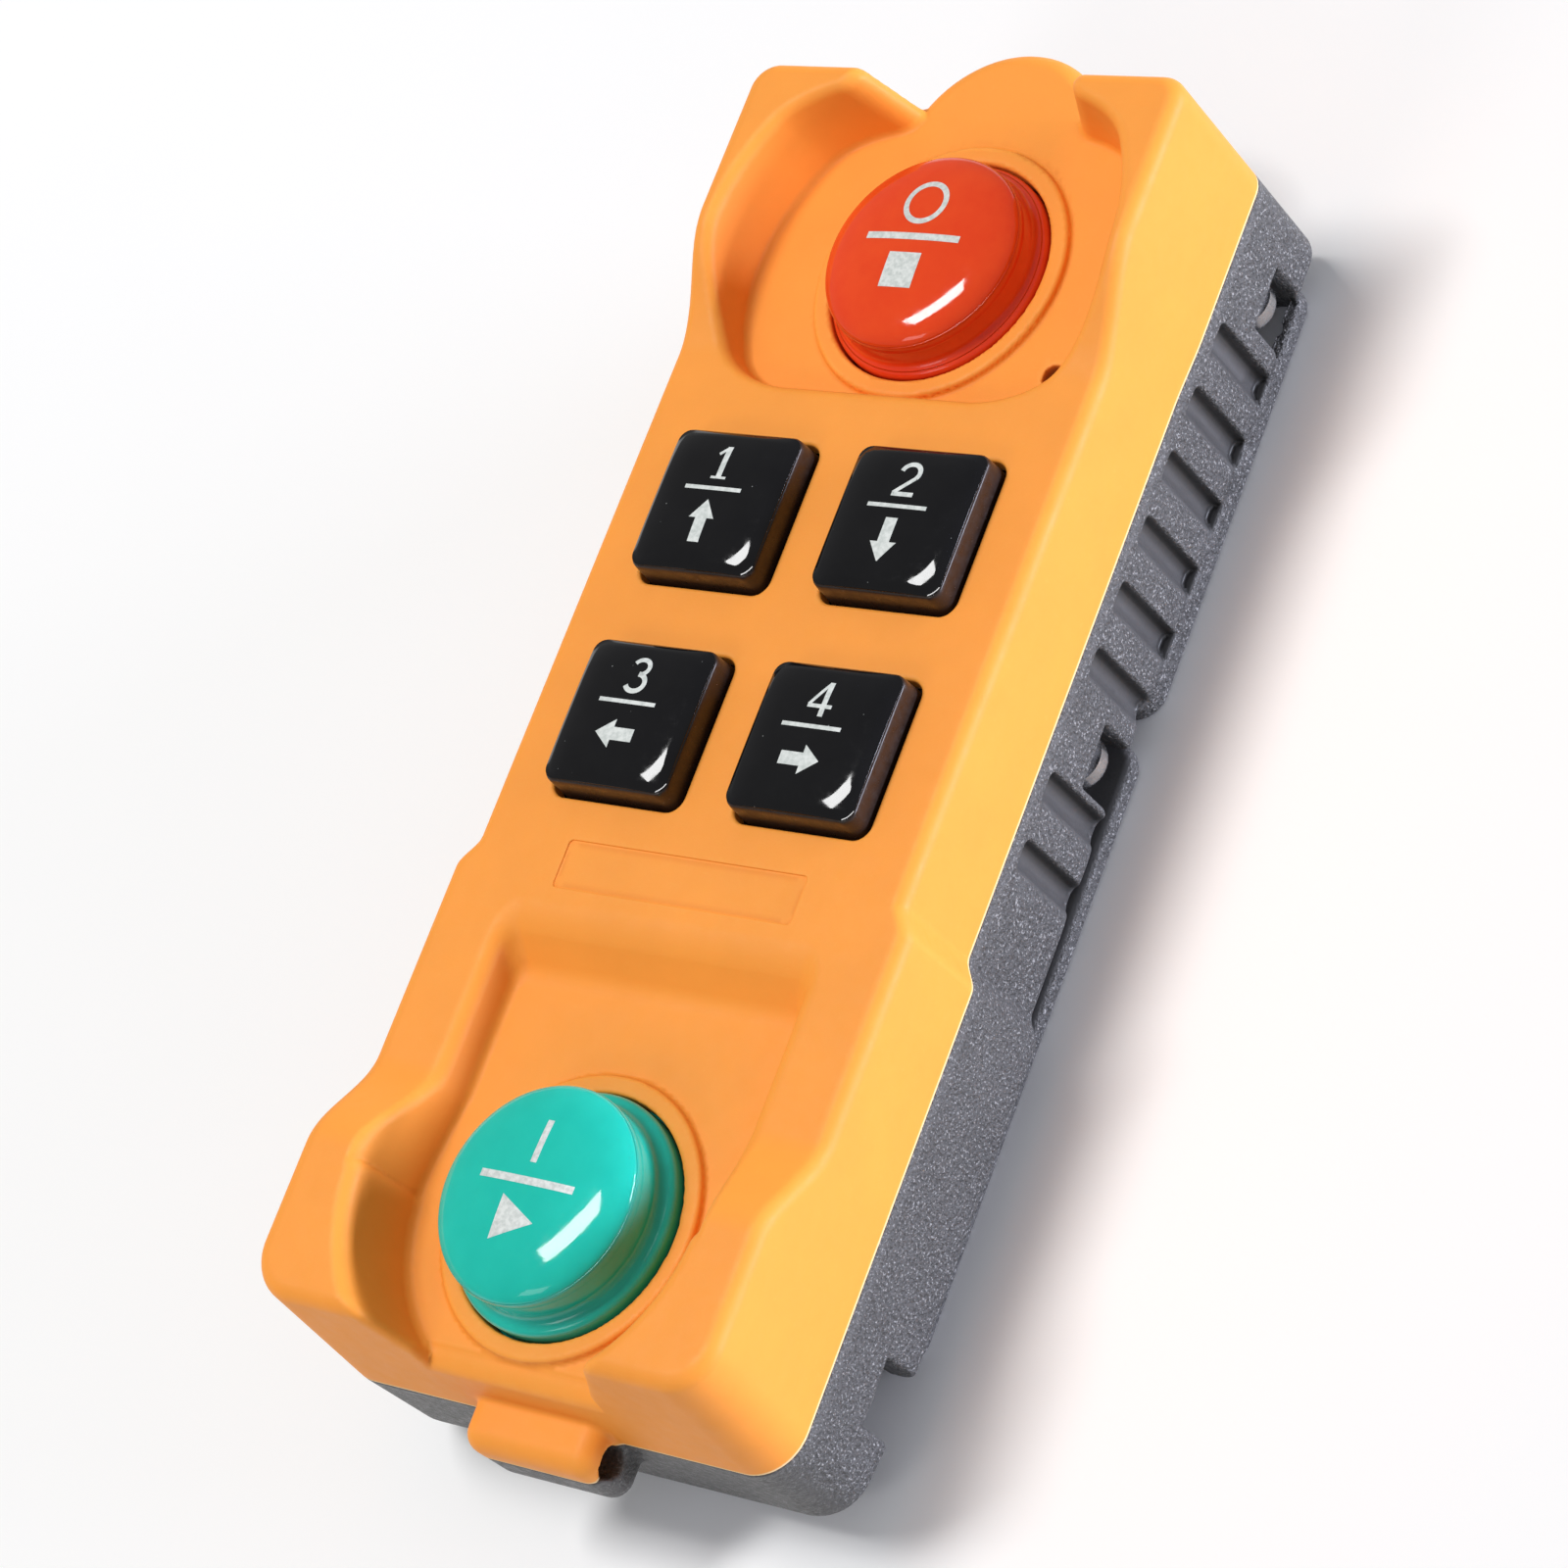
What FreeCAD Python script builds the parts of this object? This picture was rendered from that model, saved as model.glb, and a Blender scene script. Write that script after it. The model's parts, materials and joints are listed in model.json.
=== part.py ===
import FreeCAD, Part
import math
import operator
import os

import Sketcher

# Handheld radio transmitter for a hoist, lying on its back.
# +X is the width, +Y runs towards the stop button, +Z points out of the button face.
# The origin is at the middle of the outline, on the plane the case rests on.

DIMENSIONS = {
    # case, heights measured from the resting plane
    "face_height": 28.6,
    "horn_height": 33.4,
    "parting_height": 16.1,
    "back_height": 2.4,
    "grip_half": 25.6,
    "base_half": 27.3,
    "top_end": 66.9,
    "bottom_end": -69.8,
    "end_draft": 2.2,
    "base_start": -21.5,
    "base_flare": 3.5,
    "trough_top": 38.5,
    "trough_bottom": -43.5,
    "ramp_top": 11.0,
    "ramp_bottom": 6.0,
    "wall": 2.4,
    "skin": 2.2,
    "edge_round": 2.0,
    "edge_chamfer": 1.3,
    "corner_base": 5.0,
    "corner_top": 3.0,
    # antenna hump and lanyard tab
    "hump_radius": 11.5,
    "hump_centre": 62.65,
    "hump_bottom": 9.0,
    "tab_half": 7.8,
    "tab_end": -74.15,
    "tab_front": 19.7,
    "tab_back": 11.4,
    "lanyard_bore": 1.6,
    "lanyard_offset": 2.45,
    # stop dish and start recess
    "stop_centre": 48.2,
    "start_centre": -52.4,
    "dish_radius": 22.2,
    "dish_floor": 25.0,
    "dish_foot": 33.1,
    "dish_head": 64.7,
    "dish_gate": 10.5,
    "recess_half": 17.4,
    "recess_radius": 18.3,
    "recess_floor": 24.8,
    "recess_arris": -25.4,
    "recess_foot": -29.7,
    "lip_start": -67.0,
    "ring_radius": 14.2,
    "ring_rise": 0.8,
    "round_hole": 12.3,
    # key field
    "key_pitch_across": 22.0,
    "key_upper_row": 18.5,
    "key_lower_row": -4.7,
    "key_hole_wide": 15.9,
    "key_hole_tall": 16.5,
    "key_hole_round": 1.7,
    "key_gap": 0.35,
    "key_top": 31.1,
    "key_dome": 0.9,
    "key_flange_rise": 1.5,
    "key_travel": 1.3,
    "plate_half": 14.25,
    "plate_low": -22.1,
    "plate_tall": 5.0,
    "plate_depth": 0.2,
    "lamp_across": 17.3,
    "lamp_along": 38.0,
    "lamp_radius": 1.1,
    # round caps
    "cap_gap": 0.3,
    "cap_top_radius": 10.7,
    "stop_top": 30.1,
    "start_top": 31.8,
    "cap_step": 2.6,
    "cap_dome": 1.1,
    "cap_travel": 2.0,
    "flange_radius": 13.6,
    "stem_radius": 3.0,
    "gasket_thick": 0.4,
    # back shell
    "pad_half": 25.3,
    "pad_low": 14.1,
    "pad_high": 62.5,
    "back_floor": 5.0,
    "rib_pitch": 7.1,
    "rib_first": 51.1,
    "rib_second": 2.4,
    "groove_wide": 4.6,
    "groove_deep": 1.3,
    "groove_low": 3.6,
    "groove_high": 14.1,
    "screw_across": 22.6,
    "screw_top": 56.9,
    "screw_middle": 6.6,
    "screw_bottom": -58.0,
    "screw_seat": 7.6,
    "screw_pocket": 3.6,
    "screw_shank": 1.45,
    "screw_head": 2.9,
    "seal_inset": 0.5,
    "seal_wide": 0.9,
    "seal_tall": 0.7,
    # battery bay
    "bay_half": 15.7,
    "bay_low": -46.0,
    "bay_high": 9.6,
    "bay_top": 17.0,
    "bay_wall": 1.3,
    "cell_radius": 7.1,
    "cell_length": 50.5,
    "cell_height": 9.7,
    "door_thick": 2.0,
    "door_low": -53.4,
    "door_high": 11.3,
    "hook_across": 12.0,
    # boards
    "deck_height": 9.0,
    "board_thick": 1.4,
    "key_board_height": 18.6,
}

LAYOUT = {"up": (-1, "key_upper_row"), "down": (1, "key_upper_row"),
          "left": (-1, "key_lower_row"), "right": (1, "key_lower_row")}

DOC = FreeCAD.newDocument("hoist_remote")
SHEET = DOC.addObject("Spreadsheet::Sheet", "dims")
for row, (alias, size) in enumerate(DIMENSIONS.items(), start=1):
    SHEET.set(f"A{row}", alias)
    SHEET.set(f"B{row}", str(size))
    SHEET.setAlias(f"B{row}", alias)
DOC.recompute()

SIGNS = {"+": operator.add, "-": operator.sub, "*": operator.mul, "/": operator.truediv}
SIDE_VIEW = FreeCAD.Rotation(FreeCAD.Vector(1, 1, 1), 120)
FRONT_VIEW = FreeCAD.Rotation(FreeCAD.Vector(1, 0, 0), 90)
ALONG_Y = FreeCAD.Rotation(FreeCAD.Vector(1, 0, 0), -90)
ALONG_X = FreeCAD.Rotation(FreeCAD.Vector(0, 1, 0), 90)
PARTS = []


class Dim:
    """A size as a spreadsheet expression together with its value."""

    def __init__(self, text, size):
        self.text = text
        self.size = size

    def __add__(self, other):
        return combine("+", self, other)

    def __radd__(self, other):
        return combine("+", other, self)

    def __sub__(self, other):
        return combine("-", self, other)

    def __rsub__(self, other):
        return combine("-", other, self)

    def __mul__(self, other):
        return combine("*", self, other)

    __rmul__ = __mul__

    def __truediv__(self, other):
        return combine("/", self, other)

    def __neg__(self):
        return combine("-", 0, self)


class Dims:
    """Gives every spreadsheet alias as an attribute."""

    def __getattr__(self, alias):
        return Dim(f"dims.{alias}", DIMENSIONS[alias])


def as_dim(value):
    return value if isinstance(value, Dim) else Dim(repr(float(value)), float(value))


def combine(sign, left, right):
    left, right = as_dim(left), as_dim(right)
    return Dim(f"({left.text} {sign} {right.text})", SIGNS[sign](left.size, right.size))


D = Dims()


def bind(target, prop, value):
    target.setExpression(prop, as_dim(value).text)


def place(target, at, turn=None):
    """Puts an object at three bound coordinates, turned if asked."""
    if turn is not None:
        target.Placement = FreeCAD.Placement(FreeCAD.Vector(0, 0, 0), turn)
    for axis, value in zip("xyz", at):
        bind(target, f"Placement.Base.{axis}", value)
    return target


def box(label, low, high):
    """A block between two opposite corners."""
    solid = DOC.addObject("Part::Box", label)
    for prop, start, end in zip(("Length", "Width", "Height"), low, high):
        bind(solid, prop, as_dim(end) - start)
    return place(solid, low)


def rod(label, radius, low, high, at, turn=None):
    """A cylinder along Z between two heights, or along a turned axis from its start."""
    solid = DOC.addObject("Part::Cylinder", label)
    bind(solid, "Radius", radius)
    bind(solid, "Height", as_dim(high) - low)
    start = (at[0], at[1], low) if turn is None else at
    return place(solid, start, turn)


def cone(label, low_radius, high_radius, low, high, at):
    solid = DOC.addObject("Part::Cone", label)
    bind(solid, "Radius1", low_radius)
    bind(solid, "Radius2", high_radius)
    bind(solid, "Height", as_dim(high) - low)
    return place(solid, (at[0], at[1], low))


def outline(label, corners, at=(0, 0, 0), turn=None):
    """A closed sketch whose corners are all held by bound dimensions."""
    sketch = DOC.addObject("Sketcher::SketchObject", label)
    corners = [(as_dim(across), as_dim(up)) for across, up in corners]
    points = [FreeCAD.Vector(across.size, up.size, 0) for across, up in corners]
    for start, end in zip(points, points[1:] + points[:1]):
        sketch.addGeometry(Part.LineSegment(start, end))
    for index, corner in enumerate(corners):
        following = (index + 1) % len(corners)
        sketch.addConstraint(Sketcher.Constraint("Coincident", index, 2, following, 1))
        for kind, value in zip(("DistanceX", "DistanceY"), corner):
            held = Sketcher.Constraint(kind, -1, 1, index, 1, value.size)
            number = sketch.addConstraint(held)
            sketch.setExpression(f"Constraints[{number}]", value.text)
    return place(sketch, at, turn)


def prism(label, corners, low, high):
    """An outline in plan, raised between two heights."""
    solid = DOC.addObject("Part::Extrusion", label)
    solid.Base = outline(label + "_outline", corners, (0, 0, low))
    solid.DirMode = "Normal"
    solid.Solid = True
    bind(solid, "LengthFwd", as_dim(high) - low)
    return solid


def profile(label, corners, half_width, centre=0):
    """An outline in side view (along, up), run across the width."""
    solid = DOC.addObject("Part::Extrusion", label)
    start = as_dim(centre) - half_width
    solid.Base = outline(label + "_outline", corners, (start, 0, 0), SIDE_VIEW)
    solid.DirMode = "Normal"
    solid.Solid = True
    bind(solid, "LengthFwd", as_dim(half_width) * 2)
    return solid


def turned(label, corners, at):
    """A (radius, height) outline turned about a vertical axis."""
    solid = DOC.addObject("Part::Revolution", label)
    solid.Source = outline(label + "_outline", corners, (0, 0, 0), FRONT_VIEW)
    solid.Axis = (0, 0, 1)
    solid.Base = (0, 0, 0)
    solid.Angle = 360
    solid.Solid = True
    return place(solid, (at[0], at[1], 0))


def fuse(label, *pieces):
    joined = DOC.addObject("Part::MultiFuse", label)
    joined.Shapes = list(pieces)
    joined.Refine = True
    return joined


def group(label, pieces):
    """Separate solids kept together as one node."""
    kept = DOC.addObject("Part::Compound", label)
    kept.Links = list(pieces)
    return kept


def cut(label, base, *tools):
    trimmed = DOC.addObject("Part::Cut", label)
    trimmed.Base = base
    trimmed.Tool = tools[0] if len(tools) == 1 else fuse(label + "_tools", *tools)
    trimmed.Refine = True
    return trimmed


def overlap(label, *pieces):
    common = DOC.addObject("Part::MultiCommon", label)
    common.Shapes = list(pieces)
    return common


def rounded(label, base, radius, chosen, kind="Part::Fillet"):
    """Rounds or chamfers the edges of a solid that a test picks out."""
    DOC.recompute()
    edges = [number for number, edge in enumerate(base.Shape.Edges, start=1) if chosen(edge)]
    solid = DOC.addObject(kind, label)
    solid.Base = base
    solid.Edges = [(number, radius.size, radius.size) for number in edges]
    return solid


def upright(edge):
    """True for a straight vertical edge."""
    if not isinstance(edge.Curve, Part.Line):
        return False
    start, end = (vertex.Point for vertex in (edge.firstVertex(), edge.lastVertex()))
    return (end - start).getAngle(FreeCAD.Vector(0, 0, 1)) % math.pi < 1e-6


def middle(edge):
    return edge.valueAt((edge.FirstParameter + edge.LastParameter) / 2)


def block(label, low, high, round_off):
    """A block with its four upright edges rounded."""
    return rounded(label, box(label + "_raw", low, high), as_dim(round_off), upright)


def part(label, shape):
    """Marks a finished piece and names its node."""
    shape.Label = label
    PARTS.append((label, shape))
    return shape


def case_outline(inset):
    """Plan of the case, moved inwards by an inset."""
    half = [
        (D.grip_half + 0.3 - inset, D.top_end - inset),
        (D.grip_half - inset, D.trough_top + D.ramp_top / 2 - inset / 2),
        (D.grip_half - inset, D.base_start + D.base_flare + inset / 4),
        (D.base_half - inset, D.base_start + inset / 4),
        (D.base_half - inset, D.bottom_end + inset),
    ]
    return half + [(-across, along) for across, along in reversed(half)]


def case_block(label, inset, low, high):
    """The plan raised between two heights with its four corners rounded."""
    raw = prism(label + "_raw", case_outline(inset), low, high)
    base_round = D.corner_base - as_dim(inset) * 0.8
    top_round = D.corner_top - as_dim(inset) * 0.6
    at_base = rounded(label + "_base", raw, base_round,
                      lambda edge: upright(edge) and middle(edge).y < D.bottom_end.size + 5)
    return rounded(label, at_base, top_round,
                   lambda edge: upright(edge) and middle(edge).y > D.top_end.size - 5)


SCREW_ROWS = {"top": D.screw_top, "middle": D.screw_middle, "bottom": D.screw_bottom}
SCREW_SPOTS = {f"{row}_{side}": (sign * D.screw_across, along)
               for row, along in SCREW_ROWS.items()
               for side, sign in (("left", -1), ("right", 1))}
KEY_SPOTS = {name: (sign * D.key_pitch_across / 2, getattr(D, row))
             for name, (sign, row) in LAYOUT.items()}
ROUND_SPOTS = {"stop": D.stop_centre, "start": D.start_centre}
ROUND_FLOORS = {"stop": D.dish_floor, "start": D.recess_floor}
FAR = 60


def make_front_shell():
    raw = case_block("front_block", 0, D.parting_height, D.horn_height)
    trough = profile("trough", [
        (D.trough_bottom, D.face_height),
        (D.trough_bottom - D.ramp_bottom, D.horn_height + 0.01),
        (D.trough_bottom - D.ramp_bottom, FAR),
        (D.trough_top + D.ramp_top, FAR),
        (D.trough_top + D.ramp_top, D.horn_height + 0.01),
        (D.trough_top, D.face_height),
    ], FAR)
    end_slope = profile("end_slope", [
        (D.bottom_end, D.parting_height),
        (D.bottom_end + D.end_draft, D.horn_height + 0.1),
        (D.bottom_end - 9, D.horn_height + 0.1),
        (D.bottom_end - 9, D.parting_height),
    ], FAR)
    shaped = cut("front_shaped", raw, trough, end_slope)

    softened = rounded("front_softened", shaped, D.edge_chamfer, lambda edge: (
        not upright(edge) and middle(edge).z > D.face_height.size - 0.5
        and abs(middle(edge).x) > D.grip_half.size - 4 and edge.Length > 1), "Part::Chamfer")
    hump = rod("front_hump", D.hump_radius, D.parting_height, D.dish_floor, (0, D.hump_centre))
    tab = block("front_tab", (-D.tab_half, D.tab_end, D.parting_height),
                (D.tab_half, D.bottom_end + 2, D.tab_front), 1.5)
    body = fuse("front_body", softened, hump, tab)

    dish = overlap("dish", rod("dish_round", D.dish_radius, D.dish_floor, FAR, (0, D.stop_centre)),
                   box("dish_limit", (-FAR, D.dish_foot, 0), (FAR, D.dish_head, FAR * 2)))
    gate = box("dish_gate", (-D.dish_gate, D.stop_centre, D.dish_floor),
               (D.dish_gate, FAR * 2, FAR * 2))
    recess_round = rod("recess_round", D.recess_radius, D.recess_floor, FAR, (0, D.start_centre))
    recess_run = box("recess_run", (-D.recess_half, D.start_centre, D.recess_floor),
                     (D.recess_half, D.recess_foot, FAR))
    recess_slope = profile("recess_slope", [
        (D.recess_foot - 0.5, D.recess_floor),
        (D.recess_foot, D.recess_floor),
        (D.recess_arris, D.face_height),
        (D.recess_arris, FAR),
        (D.recess_foot - 0.5, FAR),
    ], D.recess_half)
    lip = profile("start_lip", [
        (D.lip_start, D.recess_floor),
        (D.bottom_end - 2, D.recess_floor - 2.4),
        (D.bottom_end - 2, FAR),
        (D.lip_start, FAR),
    ], 10.2)
    hollowed = cut("front_hollowed", body, dish, gate, recess_round, recess_run, recess_slope, lip)

    rings = []
    for name, along in ROUND_SPOTS.items():
        floor = ROUND_FLOORS[name]
        rings.append(rod(f"{name}_ring", D.ring_radius, floor - 1, floor + D.ring_rise, (0, along)))
    ringed = fuse("front_ringed", hollowed, *rings)

    ceiling = D.recess_floor - D.skin
    inner = case_block("front_cavity_low", D.wall, D.parting_height - 1, ceiling)
    upper = box("front_cavity_high",
                (D.wall - D.grip_half, D.recess_arris + 0.2, D.parting_height - 1),
                (D.grip_half - D.wall, D.dish_foot - D.skin, D.face_height - D.skin))
    hump_room = rod("front_hump_room", D.hump_radius - D.wall, D.parting_height - 1, ceiling,
                    (0, D.hump_centre))
    room = fuse("front_room", inner, upper, hump_room)
    bosses = [rod(f"front_boss_{name}", 2.9, D.parting_height, D.face_height, spot)
              for name, spot in SCREW_SPOTS.items()]
    cavity = cut("front_cavity", room, *bosses)

    openings = [rod(f"{name}_hole", D.round_hole, 0, FAR, (0, along))
                for name, along in ROUND_SPOTS.items()]
    for name, (across, along) in KEY_SPOTS.items():
        openings.append(block(
            f"key_{name}_hole",
            (across - D.key_hole_wide / 2, along - D.key_hole_tall / 2, D.parting_height),
            (across + D.key_hole_wide / 2, along + D.key_hole_tall / 2, FAR), D.key_hole_round))
    openings.append(rod("lamp_hole", D.lamp_radius, 0, FAR, (D.lamp_across, D.lamp_along)))
    openings.append(box("plate_recess", (-D.plate_half, D.plate_low, D.face_height - D.plate_depth),
                        (D.plate_half, D.plate_low + D.plate_tall, FAR)))
    openings += [rod(f"front_pilot_{name}", 1.25, 0, D.parting_height + 5.6, spot)
                 for name, spot in SCREW_SPOTS.items()]
    openings.append(lanyard_bore("front_lanyard"))
    part("front_shell", cut("front_shell", ringed, cavity, *openings))


def lanyard_bore(label):
    """The cord hole that runs across the tab, half in each shell."""
    return rod(label, D.lanyard_bore, -D.tab_half - 2, D.tab_half + 2,
               (-D.tab_half - 2, D.tab_end + D.lanyard_offset, D.parting_height), ALONG_X)


def make_back_shell():
    raw = case_block("back_block", 0, D.back_height, D.parting_height)
    softened = rounded("back_softened", raw, D.edge_round, lambda edge: (
        middle(edge).z < D.back_height.size + 0.1 and edge.Length > 1))
    pad = block("back_pad", (-D.pad_half, D.pad_low, 0),
                (D.pad_half, D.pad_high, D.back_height + 3), 4)
    hump = rod("back_hump", D.hump_radius, D.hump_bottom, D.parting_height, (0, D.hump_centre))
    tab = block("back_tab", (-D.tab_half, D.tab_end, D.tab_back),
                (D.tab_half, D.bottom_end + 2, D.parting_height), 1.5)
    bay_block = box("bay_block",
                    (-D.bay_half - D.bay_wall, D.bay_low - D.bay_wall, D.back_floor),
                    (D.bay_half + D.bay_wall, D.bay_high + D.bay_wall, D.bay_top + D.bay_wall))
    hump_floor = D.hump_bottom + 1.6

    room = case_block("back_room", D.wall, D.back_floor, D.parting_height + 1)
    pad_room = box("pad_room", (-D.pad_half + 4, D.pad_low + 3, D.back_height),
                   (D.pad_half - 4, D.pad_high - 12, D.back_floor + 1))
    hump_room = rod("back_hump_room", D.hump_radius - D.wall, hump_floor, D.parting_height + 1,
                    (0, D.hump_centre))
    bosses = [rod(f"back_boss_{name}", 4.9, 0, D.parting_height, spot)
              for name, spot in SCREW_SPOTS.items()]
    posts = [rod(f"deck_post_{name}", 2.4, 0, D.deck_height, spot)
             for name, spot in DECK_SCREWS.items()]
    cavity = cut("back_cavity", fuse("back_rooms", room, pad_room, hump_room), *bosses, *posts)

    tools = []
    for side, sign in (("left", -1), ("right", 1)):
        wall_face = sign * (D.grip_half - D.groove_deep)
        beyond = sign * as_dim(FAR)
        low, high = sorted((wall_face, beyond), key=lambda value: value.size)
        tops = [D.rib_first - D.rib_pitch * step for step in range(6)]
        tops += [D.rib_second - D.rib_pitch * step for step in range(2)]
        for number, top in enumerate(tops, start=1):
            tools.append(box(f"groove_{side}_{number}", (low, top - D.groove_wide, D.groove_low),
                             (high, top, D.groove_high)))
        for row, along in SCREW_ROWS.items():
            start = sign * D.screw_across
            low_x, high_x = sorted((start, beyond), key=lambda value: value.size)
            tools.append(box(f"pocket_way_{row}_{side}", (low_x, along - 3.3, -1),
                             (high_x, along + 3.3, D.screw_seat)))
    for name, spot in SCREW_SPOTS.items():
        tools.append(rod(f"screw_pocket_{name}", D.screw_pocket, -1, D.screw_seat, spot))
        tools.append(rod(f"screw_way_{name}", 1.65, 0, FAR, spot))
    tools += [rod(f"deck_pilot_{name}", 0.8, D.deck_height - 4, FAR, spot)
              for name, spot in DECK_SCREWS.items()]
    bay = box("bay", (-D.bay_half, D.bay_low, -1), (D.bay_half, D.bay_high, D.bay_top))
    hook_slots = [box(f"hook_slot_{side}", (sign * D.hook_across - 3.4, D.door_low - 1.7, 0),
                      (sign * D.hook_across + 3.4, D.door_low + 3.3, D.back_height + 2.2))
                  for side, sign in (("left", -1), ("right", 1))]
    clip_slot = box("clip_slot", (-5.4, D.bay_high - 0.5, 0), (5.4, D.door_high - 0.2, 5.4))
    lead_ways = [box(f"lead_way_{side}", (sign * 12.4 - 1.2, D.bay_high - 1, 13),
                     (sign * 12.4 + 1.2, D.bay_high + 3, 16.4))
                 for side, sign in (("left", -1), ("right", 1))]
    seal_groove = seal_ring("seal_groove", D.parting_height - D.seal_tall, D.parting_height + 1)
    shell = cut("back_hollowed", fuse("back_body", softened, pad, hump, tab), cavity)
    part("back_shell", cut("back_shell", fuse("back_with_bay", shell, bay_block), bay, *tools,
                           *hook_slots, clip_slot, *lead_ways, seal_groove,
                           lanyard_bore("back_lanyard")))


def seal_ring(label, low, high):
    """A narrow ring that follows the case rim."""
    outer = case_block(label + "_outer", D.seal_inset, low, high)
    inner = case_block(label + "_inner", D.seal_inset + D.seal_wide, low, high)
    return cut(label, outer, inner)


def screw(label, spot, seat, length, shank, head, head_tall, upwards=1):
    """A pan head screw; the head lies below its seat when it points upwards."""
    if upwards > 0:
        shaft = rod(label + "_shank", shank, seat, seat + length, spot)
        cap = rod(label + "_head", head, seat - head_tall, seat, spot)
        drive = as_dim(seat) - head_tall
        slot_low, slot_high = drive - 1, drive + 0.9
        rim = drive
    else:
        shaft = rod(label + "_shank", shank, seat - length, seat, spot)
        cap = rod(label + "_head", head, seat, seat + head_tall, spot)
        drive = as_dim(seat) + head_tall
        slot_low, slot_high = drive - 0.7, drive + 1
        rim = drive
    DOC.recompute()
    soft = rounded(label + "_soft", cap, as_dim(head_tall) * 0.45,
                   lambda edge: abs(middle(edge).z - rim.size) < 0.01 and edge.Length > 3)
    across, along = spot
    reach = as_dim(head) * 0.55
    slots = [box(label + "_slot_a", (across - reach, along - 0.35, slot_low),
                 (across + reach, along + 0.35, slot_high)),
             box(label + "_slot_b", (across - 0.35, along - reach, slot_low),
                 (across + 0.35, along + reach, slot_high))]
    return cut(label, fuse(label + "_solid", soft, shaft), *slots)


def make_fixings():
    part("case_seal", seal_ring("case_seal", D.parting_height - D.seal_tall + 0.02,
                                D.parting_height))
    screws = [screw(f"case_screw_{name}", spot, D.screw_seat, 12, D.screw_shank, D.screw_head, 2.2)
              for name, spot in SCREW_SPOTS.items()]
    part("case_screws", group("case_screws", screws))
    deck_top = D.deck_height + D.board_thick
    small = [screw(f"board_screw_{name}", spot, deck_top, 4.6, 0.95, 1.9, 1.2, -1)
             for name, spot in DECK_SCREWS.items()]
    part("board_screws", group("board_screws", small))


DECK_SCREWS = {
    "radio_left": (-15.0, D.stop_centre - 20),
    "radio_right": (15.0, D.stop_centre - 20),
    "start_left": (-14.0, D.start_centre - 6),
    "start_right": (14.0, D.start_centre - 6),
}


def make_boards():
    deck_top = D.deck_height + D.board_thick
    radio = block("radio_board_blank", (-18.4, D.bay_high + 3, D.deck_height),
                  (18.4, D.stop_centre + 13, deck_top), 1.5)
    start = block("start_board_blank", (-17.4, D.bottom_end + 4, D.deck_height),
                  (17.4, D.bay_low - 1.8, deck_top), 1.5)
    holes = {name: rod(f"board_hole_{name}", 1.1, 0, FAR, spot)
             for name, spot in DECK_SCREWS.items()}
    notches = [box(f"board_notch_{side}", (sign * D.base_half - 10, D.screw_top - 5.4, 0),
                   (sign * D.base_half + 10, FAR * 2, FAR))
               for side, sign in (("left", -1), ("right", 1))]
    part("radio_board", cut("radio_board", radio, holes["radio_left"], holes["radio_right"],
                            *notches))
    part("start_board", cut("start_board", start, holes["start_left"], holes["start_right"]))
    key_top = D.key_board_height + D.board_thick
    part("key_board", block("key_board", (-19.2, -16.5, D.key_board_height),
                            (19.2, D.dish_foot - 4.5, key_top), 1.2))

    part("radio_module", block("radio_module", (-17, D.stop_centre - 17, deck_top),
                               (-8, D.stop_centre - 1, deck_top + 2.6), 0.6))
    part("controller_chip", block("controller_chip", (7.6, D.stop_centre - 6, deck_top),
                                  (15.6, D.stop_centre + 2, deck_top + 1.6), 0.3))
    part("clock_crystal", block("clock_crystal", (8, D.stop_centre + 3.6, deck_top),
                                (15, D.stop_centre + 7, deck_top + 2.4), 1.6))
    part("supply_capacitor", rod("supply_capacitor", 2.5, deck_top, deck_top + 5,
                                 (-12.6, D.stop_centre + 4)))
    antenna_rise = D.hump_centre - 2
    part("antenna_coil", coil("antenna_coil", 2.4, 0.4, 1.5, 4,
                              (0, antenna_rise, deck_top + 0.45)))
    part("status_lamp", fuse("status_lamp",
                             rod("lamp_body", 1.5, deck_top, deck_top + 1.8,
                                 (D.lamp_across - 0.3, D.lamp_along)),
                             rod("lamp_rim", 1.1, deck_top, deck_top + 2.2,
                                 (D.lamp_across - 0.3, D.lamp_along))))
    part("light_pipe", fuse("light_pipe",
                            rod("pipe_stem", D.lamp_radius - 0.05, deck_top + 2.4,
                                D.dish_floor - 1.9, (D.lamp_across, D.lamp_along)),
                            rod("pipe_collar", 1.7, D.dish_floor - D.skin - 1.2,
                                D.recess_floor - D.skin, (D.lamp_across, D.lamp_along))))
    half = 4.4
    blocks = {}
    for name, along in ROUND_SPOTS.items():
        body = box(f"{name}_switch_case", (-6, along - 6, deck_top),
                   (6, along + 4.6, deck_top + 5.4))
        way = rod(f"{name}_switch_way", 2.1, deck_top + 1, FAR, (0, along))
        blocks[name] = part(f"{name}_switch", cut(f"{name}_switch", body, way))
    keys = []
    for name, (across, along) in KEY_SPOTS.items():
        body = box(f"{name}_switch_case", (across - half, along - half, key_top),
                   (across + half, along + half, key_top + 2.8))
        way = rod(f"{name}_switch_way", 1.6, key_top + 0.4, FAR, (across, along))
        keys.append(cut(f"{name}_switch_one", body, way))
    part("key_switches", group("key_switches", keys))


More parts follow.
